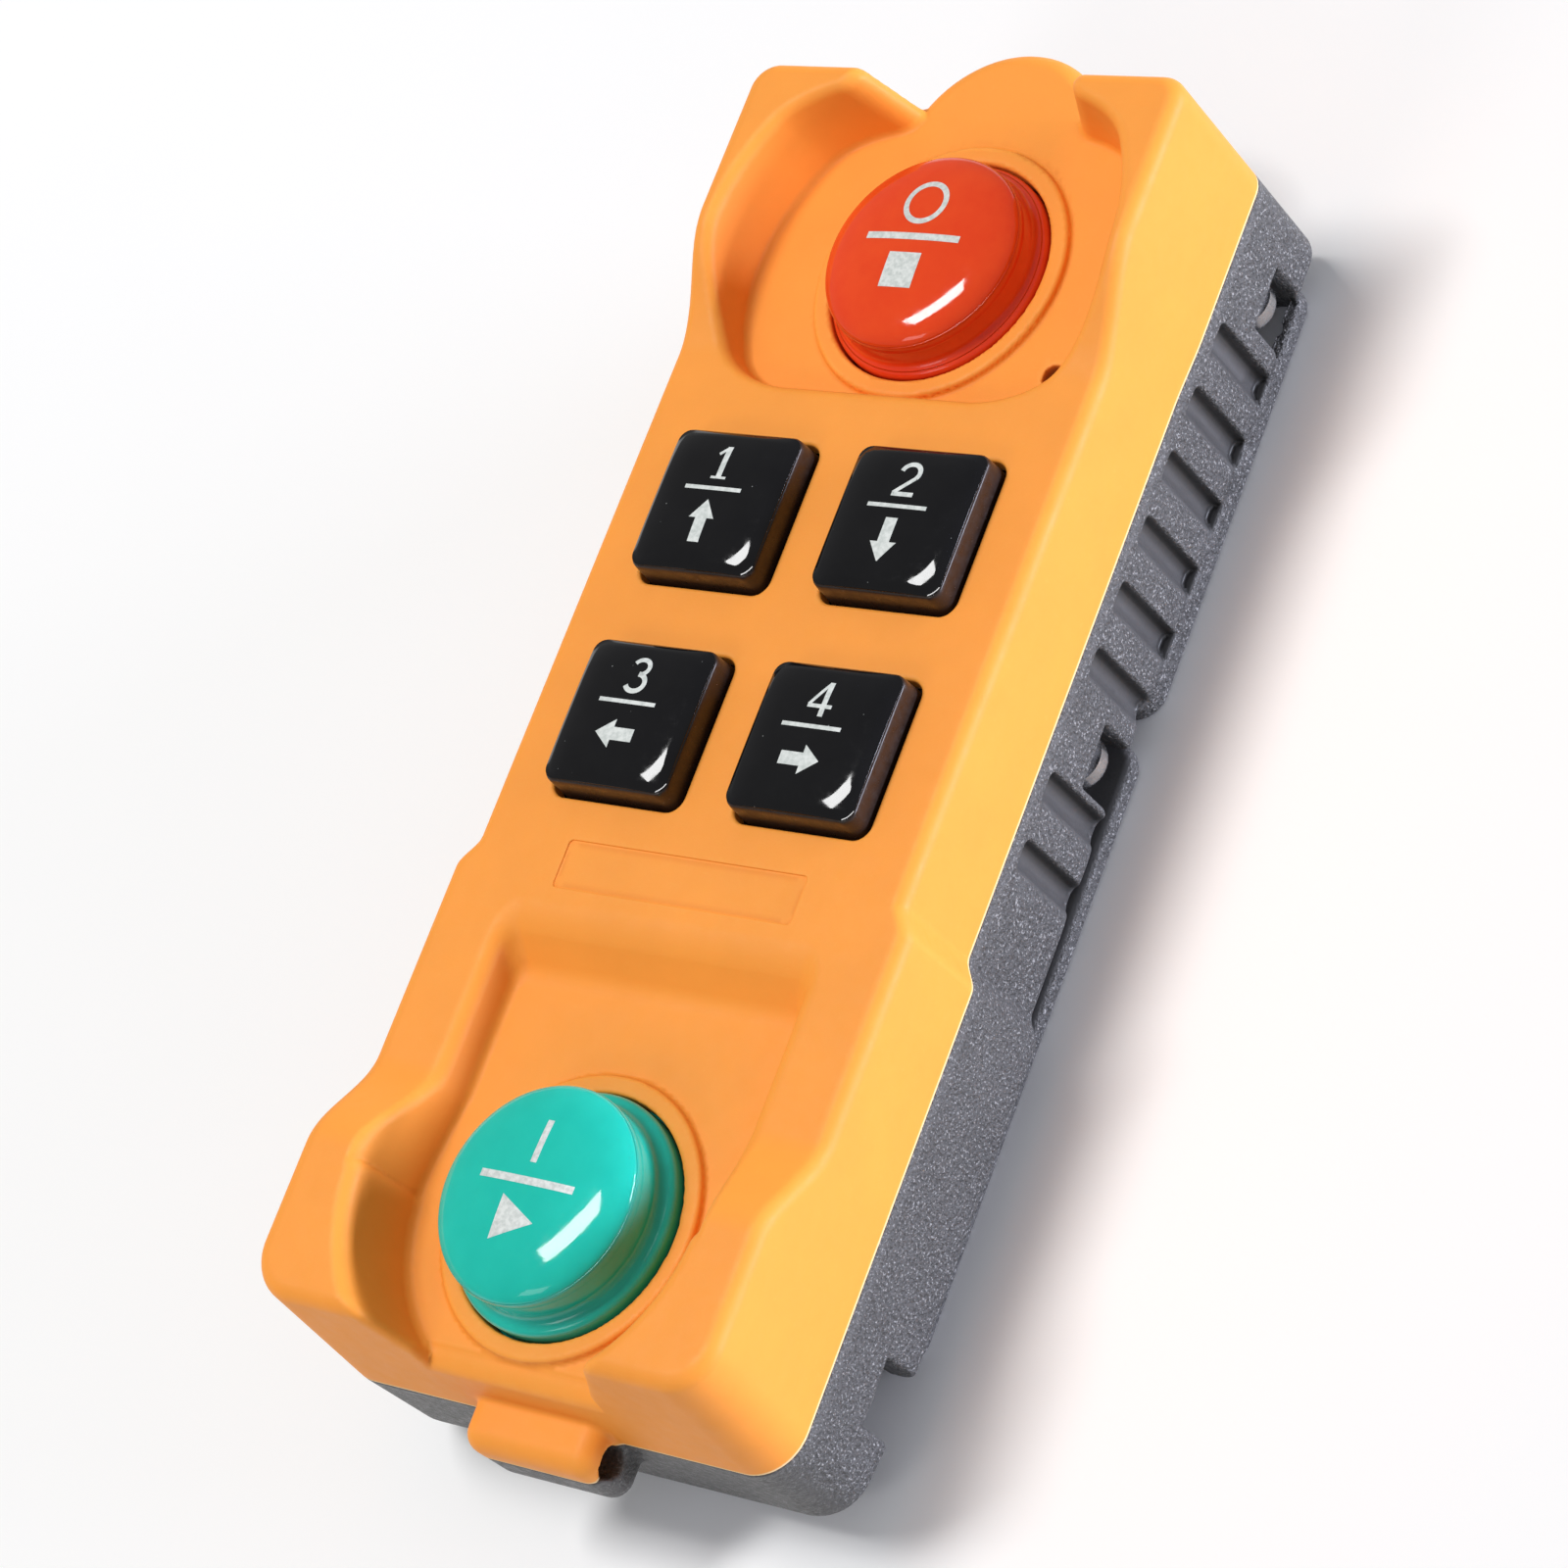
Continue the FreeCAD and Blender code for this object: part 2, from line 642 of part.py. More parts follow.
def coil(label, radius, wire, pitch, turns, at):
    """A round wire wound into a compression spring or an aerial."""
    path = DOC.addObject("Part::Helix", label + "_path")
    bind(path, "Pitch", pitch)
    bind(path, "Height", as_dim(pitch) * turns)
    bind(path, "Radius", radius)
    path.SegmentLength = 1
    section = DOC.addObject("Part::Circle", label + "_section")
    bind(section, "Radius", wire)
    section.Placement = FreeCAD.Placement(FreeCAD.Vector(0, 0, 0), FRONT_VIEW)
    bind(section, "Placement.Base.x", radius)
    sweep = DOC.addObject("Part::Sweep", label)
    sweep.Sections = [section]
    sweep.Spine = (path, [])
    sweep.Solid = True
    sweep.Frenet = True
    return place(sweep, at)


def make_round_button(name):
    along = ROUND_SPOTS[name]
    floor = ROUND_FLOORS[name]
    top = getattr(D, f"{name}_top")
    ceiling = D.recess_floor - D.skin
    seat = ceiling - D.gasket_thick - 0.1
    skirt = D.round_hole - D.cap_gap
    shoulder = floor + D.ring_rise + 1.2
    deck_top = D.deck_height + D.board_thick
    plunger_top = deck_top + 5.4 + D.cap_travel + 0.4
    cap = turned(f"{name}_cap", [
        (0.01, plunger_top),
        (D.stem_radius, plunger_top),
        (D.stem_radius, seat - 1.5),
        (D.flange_radius, seat - 1.5),
        (D.flange_radius, seat),
        (skirt, seat),
        (skirt, shoulder),
        (D.cap_top_radius + 0.35, shoulder + 0.35),
        (D.cap_top_radius, top - 0.7),
        (D.cap_top_radius - 0.5, top - 0.1),
        (D.cap_top_radius - 1.4, top),
        (D.cap_top_radius - 1.4, top - 0.5),
        (0.01, top - 0.5),
    ], (0, along))
    part(f"{name}_cap", cap)
    lens_radius = D.cap_top_radius - 1.5
    ball_radius = (lens_radius * lens_radius + D.cap_dome * D.cap_dome) / (2 * D.cap_dome)
    ball = DOC.addObject("Part::Sphere", f"{name}_ball")
    bind(ball, "Radius", ball_radius)
    place(ball, (0, along, top + D.cap_dome - ball_radius))
    part(f"{name}_legend", overlap(f"{name}_legend", ball,
                                   rod(f"{name}_legend_rim", lens_radius, top - 0.48, FAR,
                                       (0, along))))
    part(f"{name}_plunger", rod(f"{name}_plunger", 2.0, deck_top + 1 + D.cap_travel + 0.3,
                                plunger_top, (0, along)))
    part(f"{name}_spring", coil(f"{name}_spring", 4.2, 0.4, (seat - deck_top - 7.9) / 3, 3,
                                (0, along, deck_top + 5.9)))
    gasket = cut(f"{name}_gasket",
                 rod(f"{name}_gasket_blank", D.flange_radius, ceiling - D.gasket_thick, ceiling,
                     (0, along)),
                 rod(f"{name}_gasket_hole", D.round_hole + 0.05, 0, FAR, (0, along)))
    part(f"{name}_gasket", gasket)


def make_key(name):
    across, along = KEY_SPOTS[name]
    wide = D.key_hole_wide / 2 - D.key_gap
    tall = D.key_hole_tall / 2 - D.key_gap
    ceiling = D.face_height - D.skin
    seat = ceiling - 0.2
    body = block(f"key_{name}_body", (across - wide, along - tall, seat - D.key_flange_rise),
                 (across + wide, along + tall, D.key_top), D.key_hole_round - 0.3)
    crown = rounded(f"key_{name}_crown", body, as_dim(0.25), lambda edge: (
        middle(edge).z > D.key_top.size - 0.01 and edge.Length > 1))
    flange = block(f"key_{name}_flange",
                   (across - wide - 0.9, along - tall - 0.9, seat - D.key_flange_rise),
                   (across + wide + 0.9, along + tall + 0.9, seat), D.key_hole_round)
    well = block(f"key_{name}_well", (across - wide + 0.5, along - tall + 0.5, D.key_top - 0.5),
                 (across + wide - 0.5, along + tall - 0.5, FAR), D.key_hole_round - 0.7)
    part(f"key_{name}_cap", cut(f"key_{name}_cap", fuse(f"key_{name}_both", crown, flange), well))

    lens = block(f"key_{name}_lens", (across - wide + 0.54, along - tall + 0.54, D.key_top - 0.48),
                 (across + wide - 0.54, along + tall - 0.54, D.key_top + D.key_dome),
                 D.key_hole_round - 0.74)
    span = wide + tall
    ball_radius = (span * span / 4 + D.key_dome * D.key_dome) / (D.key_dome * 1.3)
    ball = DOC.addObject("Part::Sphere", f"key_{name}_ball")
    bind(ball, "Radius", ball_radius)
    place(ball, (across, along, D.key_top + D.key_dome - ball_radius))
    part(f"key_{name}_legend", overlap(f"key_{name}_legend", ball, lens))

    key_top = D.key_board_height + D.board_thick
    stem_top = seat - D.key_flange_rise
    part(f"key_{name}_plunger", rod(f"key_{name}_plunger", 1.5, stem_top - 2.2, stem_top,
                                    (across, along)))
    outer = cone(f"key_{name}_boot_outer", 4.2, 3.2, key_top + 2.8, stem_top, (across, along))
    inner = cone(f"key_{name}_boot_inner", 3.5, 2.5, key_top + 2.8, stem_top, (across, along))
    part(f"key_{name}_boot", cut(f"key_{name}_boot", outer, inner))


def make_battery():
    gap = 0.35
    low = D.bay_low + 4.0
    for name, sign in (("left", -1), ("right", 1)):
        across = sign * (D.cell_radius + gap)
        can_low = low if sign < 0 else low + 1.2
        can = rod(f"cell_{name}_can", D.cell_radius, 0, D.cell_length - 1.2,
                  (across, can_low, D.cell_height), ALONG_Y)
        nib_low = can_low + D.cell_length - 1.2 if sign < 0 else low
        nib = rod(f"cell_{name}_nib", 2.7, 0, 1.2, (across, nib_low, D.cell_height), ALONG_Y)
        part(f"battery_cell_{name}", fuse(f"battery_cell_{name}", can, nib))
    reach = low + D.cell_length
    for name, sign in (("left", -1), ("right", 1)):
        across = sign * (D.cell_radius + gap)
        part(f"contact_plate_{name}", contact_plate(f"contact_plate_{name}", across, reach))
    bridge = box("contact_bridge_plate", (-12, D.bay_low + 0.05, D.cell_height - 4.5),
                 (12, D.bay_low + 0.55, D.cell_height + 4.5))
    part("contact_bridge", bridge)
    across = -(D.cell_radius + gap)
    spring = coil("contact_spring", 3.0, 0.35, 0.88, 3, (0, 0, 0))
    place(spring, (across, D.bay_low + 0.94, D.cell_height), ALONG_Y)
    part("contact_spring", spring)
    pad = block("cell_pad", (-13, -38, D.door_thick + 0.02), (13, 2, D.cell_height - D.cell_radius),
                2)
    part("cell_pad", pad)


def contact_plate(label, across, reach):
    """A sprung strip that meets the end of one cell."""
    return box(label, (across - 4.5, reach + 0.05, D.cell_height - 4.5),
               (across + 4.5, reach + 0.55, D.cell_height + 4.5))


def make_door():
    plate = block("door_plate", (-D.pad_half, D.door_low, 0), (D.pad_half, D.door_high, D.door_thick),
                  3)
    soft = rounded("door_soft", plate, as_dim(0.9), lambda edge: (
        middle(edge).z < 0.01 and edge.Length > 1))
    hooks = []
    for side, sign in (("left", -1), ("right", 1)):
        middle_x = sign * D.hook_across
        hooks.append(profile(f"door_hook_{side}", [
            (D.door_low + 0.4, D.door_thick - 0.5),
            (D.door_low + 1.6, D.door_thick - 0.5),
            (D.door_low + 1.6, D.back_height + 1.3),
            (D.door_low - 0.7, D.back_height + 1.3),
            (D.door_low - 0.7, D.back_height + 0.6),
            (D.door_low + 0.4, D.back_height + 0.6),
        ], 3.0, middle_x))
    clip = profile("door_clip", [
        (D.bay_high - 0.1, D.door_thick - 0.5),
        (D.bay_high + 0.7, D.door_thick - 0.5),
        (D.bay_high + 0.7, D.door_thick + 1.6),
        (D.bay_high + 1.2, D.door_thick + 2.1),
        (D.bay_high + 0.7, D.door_thick + 2.9),
        (D.bay_high - 0.1, D.door_thick + 2.9),
    ], 5.0)
    rim = cut("door_rim", box("door_rim_outer", (-D.bay_half + 0.4, D.bay_low + 0.4, D.door_thick - 0.4),
                              (D.bay_half - 0.4, D.bay_high - 0.4, D.door_thick + 0.5)),
              box("door_rim_inner", (-D.bay_half + 1.4, D.bay_low + 1.4, 0),
                  (D.bay_half - 1.4, D.bay_high - 1.4, FAR)))
    part("battery_door", fuse("battery_door", soft, *hooks, clip, rim))
    ring = cut("door_seal", block("door_seal_outer",
                                  (-D.bay_half - 1.4, D.bay_low - 1.4, D.door_thick + 0.02),
                                  (D.bay_half + 1.4, D.bay_high + 1.4, D.back_height - 0.05), 1.5),
               block("door_seal_inner", (-D.bay_half - 0.2, D.bay_low - 0.2, 0),
                     (D.bay_half + 0.2, D.bay_high + 0.2, FAR), 0.8))
    gate = box("door_seal_gate", (-6, D.bay_high - 0.5, 0), (6, FAR, FAR))
    part("door_seal", cut("door_seal_cut", ring, gate))


def lead(label, route, radius=0.55):
    """An insulated wire bent smoothly through its route."""
    curve = Part.BSplineCurve()
    curve.interpolate([FreeCAD.Vector(*(as_dim(value).size for value in stop)) for stop in route])
    path = Part.Wire([curve.toShape()])
    start, heading = curve.value(0), curve.tangent(0)[0]
    section = Part.Wire([Part.Circle(start, heading, radius).toShape()])
    wire = DOC.addObject("Part::Feature", label)
    wire.Shape = path.makePipeShell([section], True, True)
    return wire


def make_leads():
    deck_top = D.deck_height + D.board_thick
    reach = D.bay_low + 4.0 + D.cell_length + 0.7
    for name, sign in (("left", -1), ("right", 1)):
        across = sign * 12.4
        part(f"battery_lead_{name}", lead(f"battery_lead_{name}", [
            (across, reach, 14.9),
            (across, reach + 2.6, 14.9),
            (across * 0.97, reach + 5.5, 14.2),
            (across * 0.95, reach + 7.5, deck_top + 0.62),
        ]))


def write_parts():
    DOC.recompute()
    os.makedirs("parts", exist_ok=True)
    for item in DOC.Objects:
        if "Invalid" in item.State or "Error" in item.State:
            raise RuntimeError(f"{item.Label} did not build: {item.State}")
    for label, item in PARTS:
        shape = item.Shape
        if shape.isNull() or not shape.isValid() or not shape.Solids:
            raise RuntimeError(f"{label} is not a sound solid")
        shape.exportStep(f"parts/{label}.step")
        print(label, len(shape.Solids), round(shape.Volume, 1))


make_front_shell()
make_back_shell()
make_fixings()
make_boards()
for button in ROUND_SPOTS:
    make_round_button(button)
for key in LAYOUT:
    make_key(key)
make_battery()
make_door()
make_leads()
write_parts()
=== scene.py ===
import json
import math

import bpy
import numpy as np
from mathutils import Matrix, Vector


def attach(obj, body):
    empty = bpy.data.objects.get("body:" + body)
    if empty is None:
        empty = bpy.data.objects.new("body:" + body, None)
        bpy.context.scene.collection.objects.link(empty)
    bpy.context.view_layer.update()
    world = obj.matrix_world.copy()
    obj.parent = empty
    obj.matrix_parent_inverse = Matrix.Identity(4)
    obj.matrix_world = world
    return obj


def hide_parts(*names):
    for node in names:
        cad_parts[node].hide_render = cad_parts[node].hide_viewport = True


# Looks of a handheld hoist transmitter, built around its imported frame.
# Shapes are worked out in millimetres in the part's own frame, then scaled to metres:
# +X across, +Y towards the stop button, +Z out of the button face, the resting plane at zero.

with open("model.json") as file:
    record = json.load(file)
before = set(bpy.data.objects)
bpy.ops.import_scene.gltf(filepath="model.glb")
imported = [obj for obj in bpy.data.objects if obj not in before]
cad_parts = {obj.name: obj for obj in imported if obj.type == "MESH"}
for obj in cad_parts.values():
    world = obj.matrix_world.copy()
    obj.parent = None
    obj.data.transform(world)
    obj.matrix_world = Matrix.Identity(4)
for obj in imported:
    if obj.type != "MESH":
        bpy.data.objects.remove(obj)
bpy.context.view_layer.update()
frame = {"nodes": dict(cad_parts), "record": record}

MM = 0.001
FACE, HORN, PARTING, BACK = 28.6, 33.4, 16.1, 2.4
TOP_END, BOTTOM_END, TAB_END = 66.9, -69.8, -74.15
SCREWS = [(side * 22.6, along) for along in (56.9, 6.6, -58.0) for side in (-1, 1)]
POSTS = [(side * across, along) for across, along in ((15.0, 28.2), (14.0, -58.4))
         for side in (-1, 1)]
STOP_Y, START_Y, HUMP_Y = 48.2, -52.4, 62.65
STOP_FLOOR, START_FLOOR = 25.0, 24.8
KEYS = {"up": (-11.0, 18.5), "down": (11.0, 18.5), "left": (-11.0, -4.7), "right": (11.0, -4.7)}
GROOVE_PITCH = 7.1
GROOVES = [51.1 - GROOVE_PITCH * step for step in range(6)]
GROOVES += [2.4 - GROOVE_PITCH * step for step in range(2)]
LAMP_SPOT, LAMP_DEPTH = (17.3, 38.0), 23.4
WALL, FACE_WALL = 2.4, 2.2
CEILING = START_FLOOR - FACE_WALL
DISH_RADIUS, SCOOP_RADIUS = 22.2, 18.2
HUMP_RADIUS, HUMP_ROOM = 11.5, 9.1
COLLAR_RADIUS, SHAFT_RADIUS = 14.2, 12.3
KEY_HOLE_X, KEY_HOLE_Y = 7.95, 8.25
PLATE_Y, PLATE_X, PLATE_DEPTH = -19.6, 14.25, 0.2
DOOR_X, DOOR_END, DOOR_HEAD = 25.3, -53.4, 11.3
HOOK_X, CLIP_X = 12, 5.4
PAD_RIM = 2.3  # height of the wall left below the two upper screw pockets


# ---------------------------------------------------------------- distance fields

def soft_max(a, b, r):
    """The overlap of two fields, with the edge between them rounded by r."""
    return np.minimum(-r, np.maximum(a, b)) + np.hypot(np.maximum(a + r, 0), np.maximum(b + r, 0))


def soft_min(a, b, r):
    """The union of two fields, with the inner corner filled by r."""
    return -soft_max(-a, -b, r)


def ramp(t):
    """A smooth step from 0 to 1."""
    t = np.clip(t, 0, 1)
    return t * t * (3 - 2 * t)


def slab(v, low, high):
    """The field of the space between two parallel planes."""
    return np.maximum(low - v, v - high)


def ring_of(x, y, centre, radius):
    """The field of an upright cylinder."""
    return np.hypot(x - centre[0], y - centre[1]) - radius


def plan(x, y, z, inset):
    """The outline of the case seen from above, moved inwards by an inset."""
    half = 25.6 + 0.3 * ramp((y - 40) / 8) + 1.7 * ramp((-18 - y) / 3.5)
    end = BOTTOM_END + 2.2 * np.clip((z - PARTING) / (HORN - PARTING), 0, 1)
    sides = np.abs(x) - half + inset
    upper = soft_max(sides, y - TOP_END + inset, max(3 - 0.6 * inset, 0.5))
    return soft_max(upper, end + inset - y, max(5 - 0.8 * inset, 0.5))


def tab(x, y):
    """The outline of the lanyard tab seen from above."""
    outline = soft_max(np.abs(x) - 7.8, TAB_END - y, 2.0)
    return np.maximum(outline, y + 66)


def lanyard(y, z):
    """The bore across the tab for a wrist cord."""
    return np.hypot(y - TAB_END - 2.45, z - PARTING) - 1.6


def front_field(x, y, z):
    """The orange shell: face, horns, stop dish, start recess, collars, openings and cavity."""
    height = FACE + (HORN - FACE) * np.maximum(ramp((y - 35.5) / 14.5), ramp((-41.5 - y) / 11))
    shell = soft_max(plan(x, y, z, 0), z - height, 1.5)

    depth = z - STOP_FLOOR
    dish = ring_of(x, y, (0, STOP_Y), DISH_RADIUS) - 0.16 * depth
    dish = soft_max(dish, y - 64.7 - 0.03 * depth, 5.0)
    dish = soft_max(dish, 33.1 - y, 4.0)
    gate = soft_max(np.abs(x) - 9.6 - 0.4 * depth, 60 - y, 0.5)
    dish = soft_min(dish, gate, 2.0)
    shell = soft_max(shell, -soft_max(dish, -depth, 0.7), 1.2)
    hump = soft_max(ring_of(x, y, (0, HUMP_Y), HUMP_RADIUS), depth, 1.8)
    shell = soft_min(shell, hump, 0.5 * ramp((-1 - depth) / 1.5) + 0.02)

    rise = z - START_FLOOR
    scoop = ring_of(x, y, (0, START_Y), SCOOP_RADIUS) - 0.2 * rise
    slope = (y + 29.7 - 1.13 * rise) / 1.51
    strip = soft_max(np.abs(x) - 17.3 - 0.3 * rise, slope, 1.6)
    recess = soft_min(scoop, np.maximum(strip, START_Y - y), 2.0)
    shell = soft_max(shell, -soft_max(recess, -rise, 0.7), 1.3)
    lip = (START_FLOOR + 0.5 * (y + 67.0) - z) / 1.12
    shell = soft_max(shell, -np.maximum(np.maximum(np.abs(x) - 10.2, y + 67.0), lip), 0.6)
    shell = soft_min(shell, soft_max(tab(x, y), z - 19.7, 2.0), 0.6)

    for along, floor in ((STOP_Y, STOP_FLOOR), (START_Y, START_FLOOR)):
        collar = soft_max(ring_of(x, y, (0, along), COLLAR_RADIUS), z - floor - 0.8, 0.45)
        shell = soft_min(shell, np.maximum(collar, 20 - z), 0.35)
        shell = soft_max(shell, -ring_of(x, y, (0, along), SHAFT_RADIUS), 0.35)
    for across, along in KEYS.values():
        key_hole = soft_max(np.abs(x - across) - KEY_HOLE_X, np.abs(y - along) - KEY_HOLE_Y, 1.7)
        shell = soft_max(shell, -key_hole, 0.35)
    shell = soft_max(shell, -ring_of(x, y, LAMP_SPOT, 1.2), 0.12)
    plate = soft_max(np.abs(x) - PLATE_X, np.abs(y - PLATE_Y) - 2.5, 0.5)
    shell = soft_max(shell, -soft_max(plate, FACE - PLATE_DEPTH - z, 0.05), 0.06)

    room = soft_max(plan(x, y, z, WALL), z - CEILING, 0.6)
    high = np.maximum(np.abs(x) - 23.2, np.maximum(slab(y, -25.2, 30.9), z - FACE + FACE_WALL))
    room = np.minimum(room, high)
    room = np.minimum(room, np.maximum(ring_of(x, y, (0, HUMP_Y), HUMP_ROOM), z - CEILING))
    for spot in SCREWS:
        room = soft_max(room, -ring_of(x, y, spot, 2.9), 0.3)
    shell = soft_max(shell, -room, 0.3)
    for spot in SCREWS:
        shell = np.maximum(shell, -np.maximum(ring_of(x, y, spot, 1.25), z - PARTING - 5.6))
    shell = soft_max(shell, -lanyard(y, z), 0.4)
    return soft_max(shell, PARTING - z, 0.22)


def groove_field(x, y, z):
    """The finger grooves down both sides of the grip."""
    out = np.abs(x)
    rows = np.full_like(x, 1e3)
    for top in GROOVES:
        down = top - y
        scoop = soft_max(np.hypot(out - 25.7, down - 1.2) - 1.75, -down, 0.3)
        slope = np.maximum((24.75 + 0.3 * (down - 1.8) - out) / 1.04, slab(down, 1.0, 5.2))
        rows = np.minimum(rows, soft_min(scoop, slope, 0.4))
    return soft_max(soft_max(rows, z - 14.1, 0.9), 2.7 - z, 0.2)


def back_field(x, y, z):
    """The grey shell: resting pad, grooves, screw pockets, battery bay and bosses."""
    foot = 2.0 + 1.5 * ramp((-58 - y) / 8)
    shell = soft_max(plan(x, y, z, 0), BACK - z, foot)
    pad = soft_max(np.abs(x) - 25.3, slab(y, 14.1, 62.5), 3.0)
    shell = soft_min(shell, np.maximum(soft_max(pad, -z, 0.7), z - 6), 0.4)
    shell = soft_min(shell, soft_max(ring_of(x, y, (0, HUMP_Y), HUMP_RADIUS), 9.0 - z, 1.2), 0.5)
    shell = soft_min(shell, soft_max(tab(x, y), 11.4 - z, 1.3), 0.6)
    shell = soft_max(shell, z - PARTING, 0.22)

    room = np.maximum(plan(x, y, z, WALL), 5.0 - z)
    under_pad = np.maximum(np.abs(x) - 21.3, np.maximum(slab(y, 17.1, 50.5), BACK - z))
    room = np.minimum(room, under_pad)
    room = np.minimum(room, np.maximum(ring_of(x, y, (0, HUMP_Y), HUMP_ROOM), 10.6 - z))
    for spot in SCREWS:
        room = soft_max(room, -ring_of(x, y, spot, 4.9), 0.4)
    for spot in POSTS:
        room = np.maximum(room, -np.maximum(ring_of(x, y, spot, 2.4), z - 9.0))
    shell = soft_max(shell, -room, 0.25)
    bay_wall = np.maximum(np.maximum(np.abs(x) - 17.0, slab(y, -47.3, 10.9)), slab(z, 5.0, 18.3))
    shell = np.minimum(shell, bay_wall)
    bay = np.maximum(np.maximum(np.abs(x) - 15.7, slab(y, -46.0, 9.6)), z - 17.0)
    shell = soft_max(shell, -bay, 0.3)

    for spot in SCREWS:
        way = np.maximum(np.abs(y - spot[1]) - 3.3, 24.4 - x * np.sign(spot[0]))
        way = np.maximum(way, z - 8.5)
        bore = soft_max(ring_of(x, y, spot, 3.6), z - 7.6, 0.5)
        if spot[1] > STOP_Y:
            way = np.maximum(way, PAD_RIM - z)
            bore = np.maximum(bore, np.minimum(np.abs(x) - 24.0, PAD_RIM - z))
        shell = soft_max(shell, -soft_min(bore, way, 0.4), 0.6)
        shell = np.maximum(shell, -ring_of(x, y, spot, 1.65))
    shell = soft_max(shell, -groove_field(x, y, z), 0.4)
    for side in (-1, 1):
        slot = np.maximum(np.abs(x - side * HOOK_X) - 3.4, slab(y, -55.1, -50.1))
        shell = soft_max(shell, -np.maximum(slot, z - 4.6), 0.25)
        lead = np.maximum(np.abs(x - side * 12.4) - 1.2, slab(y, 8.6, 12.6))
        shell = np.maximum(shell, -np.maximum(lead, slab(z, 13.0, 16.4)))
    catch = np.maximum(np.maximum(np.abs(x) - CLIP_X, slab(y, 9.1, 11.1)), z - 5.4)
    shell = soft_max(shell, -catch, 0.2)
    seal = np.maximum(plan(x, y, z, 0.5), -plan(x, y, z, 1.4))
    shell = np.maximum(shell, -np.maximum(seal, 15.4 - z))
    return soft_max(shell, -lanyard(y, z), 0.4)


def door_field(x, y, z):
    """The battery door: plate, thumb ridges, raised rim, hooks and spring clip."""
    plate = soft_max(np.abs(x) - DOOR_X, slab(y, DOOR_END, DOOR_HEAD), 3.0)
    door = soft_max(plate, slab(z, 0, 2.0), 0.7)
    panel = soft_max(np.abs(x) - 20.5, slab(y, -34.0, 7.0), 2.0)
    door = soft_max(door, -soft_max(panel, z - 0.35, 0.2), 0.2)
    for step in range(6):
        ridge = soft_max(np.abs(x) - 9.0, np.abs(y + 38.5 + 1.9 * step) - 0.5, 0.45)
        door = soft_max(door, -soft_max(ridge, z - 0.5, 0.2), 0.2)
    rim = np.maximum(np.abs(x) - 15.3, slab(y, -45.6, 9.2))
    bore = np.maximum(np.abs(x) - 14.3, slab(y, -44.6, 8.2))
    door = soft_min(door, np.maximum(np.maximum(rim, -bore), slab(z, 1.5, 2.5)), 0.2)
    clip = np.maximum(slab(y, 9.5, 10.3 + 0.5 * np.clip(1 - np.abs(z - 4.1) / 0.6, 0, 1)),
                      slab(z, 1.5, 4.9))
    door = soft_min(door, np.maximum(np.abs(x) - (CLIP_X - 0.4), clip), 0.15)
    for side in (-1, 1):
        hook = np.maximum(slab(y, -53.0, -51.8), slab(z, 1.5, 3.7))
        nose = np.maximum(slab(y, -54.1, -52.0), slab(z, 3.0, 3.7))
        hook = np.maximum(np.minimum(hook, nose), np.abs(x - side * HOOK_X) - 3.0)
        door = soft_min(door, hook, 0.15)
    return door


# ---------------------------------------------------------------- meshing

def grid_lines(low, high, step, fine=()):
    """Evenly spaced lines, closer together around the places that need it."""
    lines = np.linspace(low, high, int(round((high - low) / step)) + 1)
    for centre, reach, close in fine:
        lines = lines[np.abs(lines - centre) > reach]
        count = int(round(2 * reach / close)) + 1
        lines = np.concatenate([lines, np.linspace(centre - reach, centre + reach, count)])
    return np.sort(lines)


def surface_of(field, xs, ys, zs):
    """Quads over the zero surface of a field sampled on a grid, one vertex in each cell."""
    values = field(*(v.astype(np.float32) for v in np.meshgrid(xs, ys, zs, indexing="ij")))
    values = np.where(np.abs(values) < 1e-5, 1e-5, values)
    cells = tuple(n - 1 for n in values.shape)
    total, count = np.zeros(cells + (3,), np.float32), np.zeros(cells, np.float32)
    crossings = []
    grid = (xs, ys, zs)
    for axis in range(3):
        near = np.moveaxis(values, axis, 0)[:-1]
        far = np.moveaxis(values, axis, 0)[1:]
        hit = np.argwhere((near < 0) != (far < 0))
        a, b = near[tuple(hit.T)], far[tuple(hit.T)]
        share = a / (a - b)
        index = np.insert(hit[:, 1:], axis, hit[:, 0], axis=1)
        point = np.stack([grid[k][index[:, k]] for k in range(3)], 1)
        point[:, axis] += share * (grid[axis][index[:, axis] + 1] - grid[axis][index[:, axis]])
        others = [k for k in range(3) if k != axis]
        corners = []
        for shift in ((0, 0), (1, 0), (1, 1), (0, 1)):
            cell = index.copy()
            cell[:, others[0]] -= shift[0]
            cell[:, others[1]] -= shift[1]
            corners.append(cell)
        inner = np.all([(c >= 0) & (c < np.array(cells)) for c in corners], axis=(0, 2))
        corners = [c[inner] for c in corners]
        for cell in corners:
            np.add.at(total, tuple(cell.T), point[inner].astype(np.float32))
            np.add.at(count, tuple(cell.T), 1)
        crossings.append((corners, (a[inner] < 0) != (axis != 1)))
    used = count > 0
    number = np.full(cells, -1, np.int64)
    number[used] = np.arange(used.sum())
    points = total[used] / count[used][:, None]
    quads = []
    for corners, outward in crossings:
        quad = np.stack([number[tuple(cell.T)] for cell in corners], 1)
        quads.append(np.where(outward[:, None], quad[:, ::-1], quad))
    return points.astype(float), np.concatenate(quads)


def slope_of(field, points, reach=0.03):
    """The gradient of a field at points."""
    sides = []
    for axis in range(3):
        step = np.zeros(3)
        step[axis] = reach
        ahead, behind = field(*(points + step).T), field(*(points - step).T)
        sides.append((ahead - behind) / (2 * reach))
    return np.stack(sides, 1)


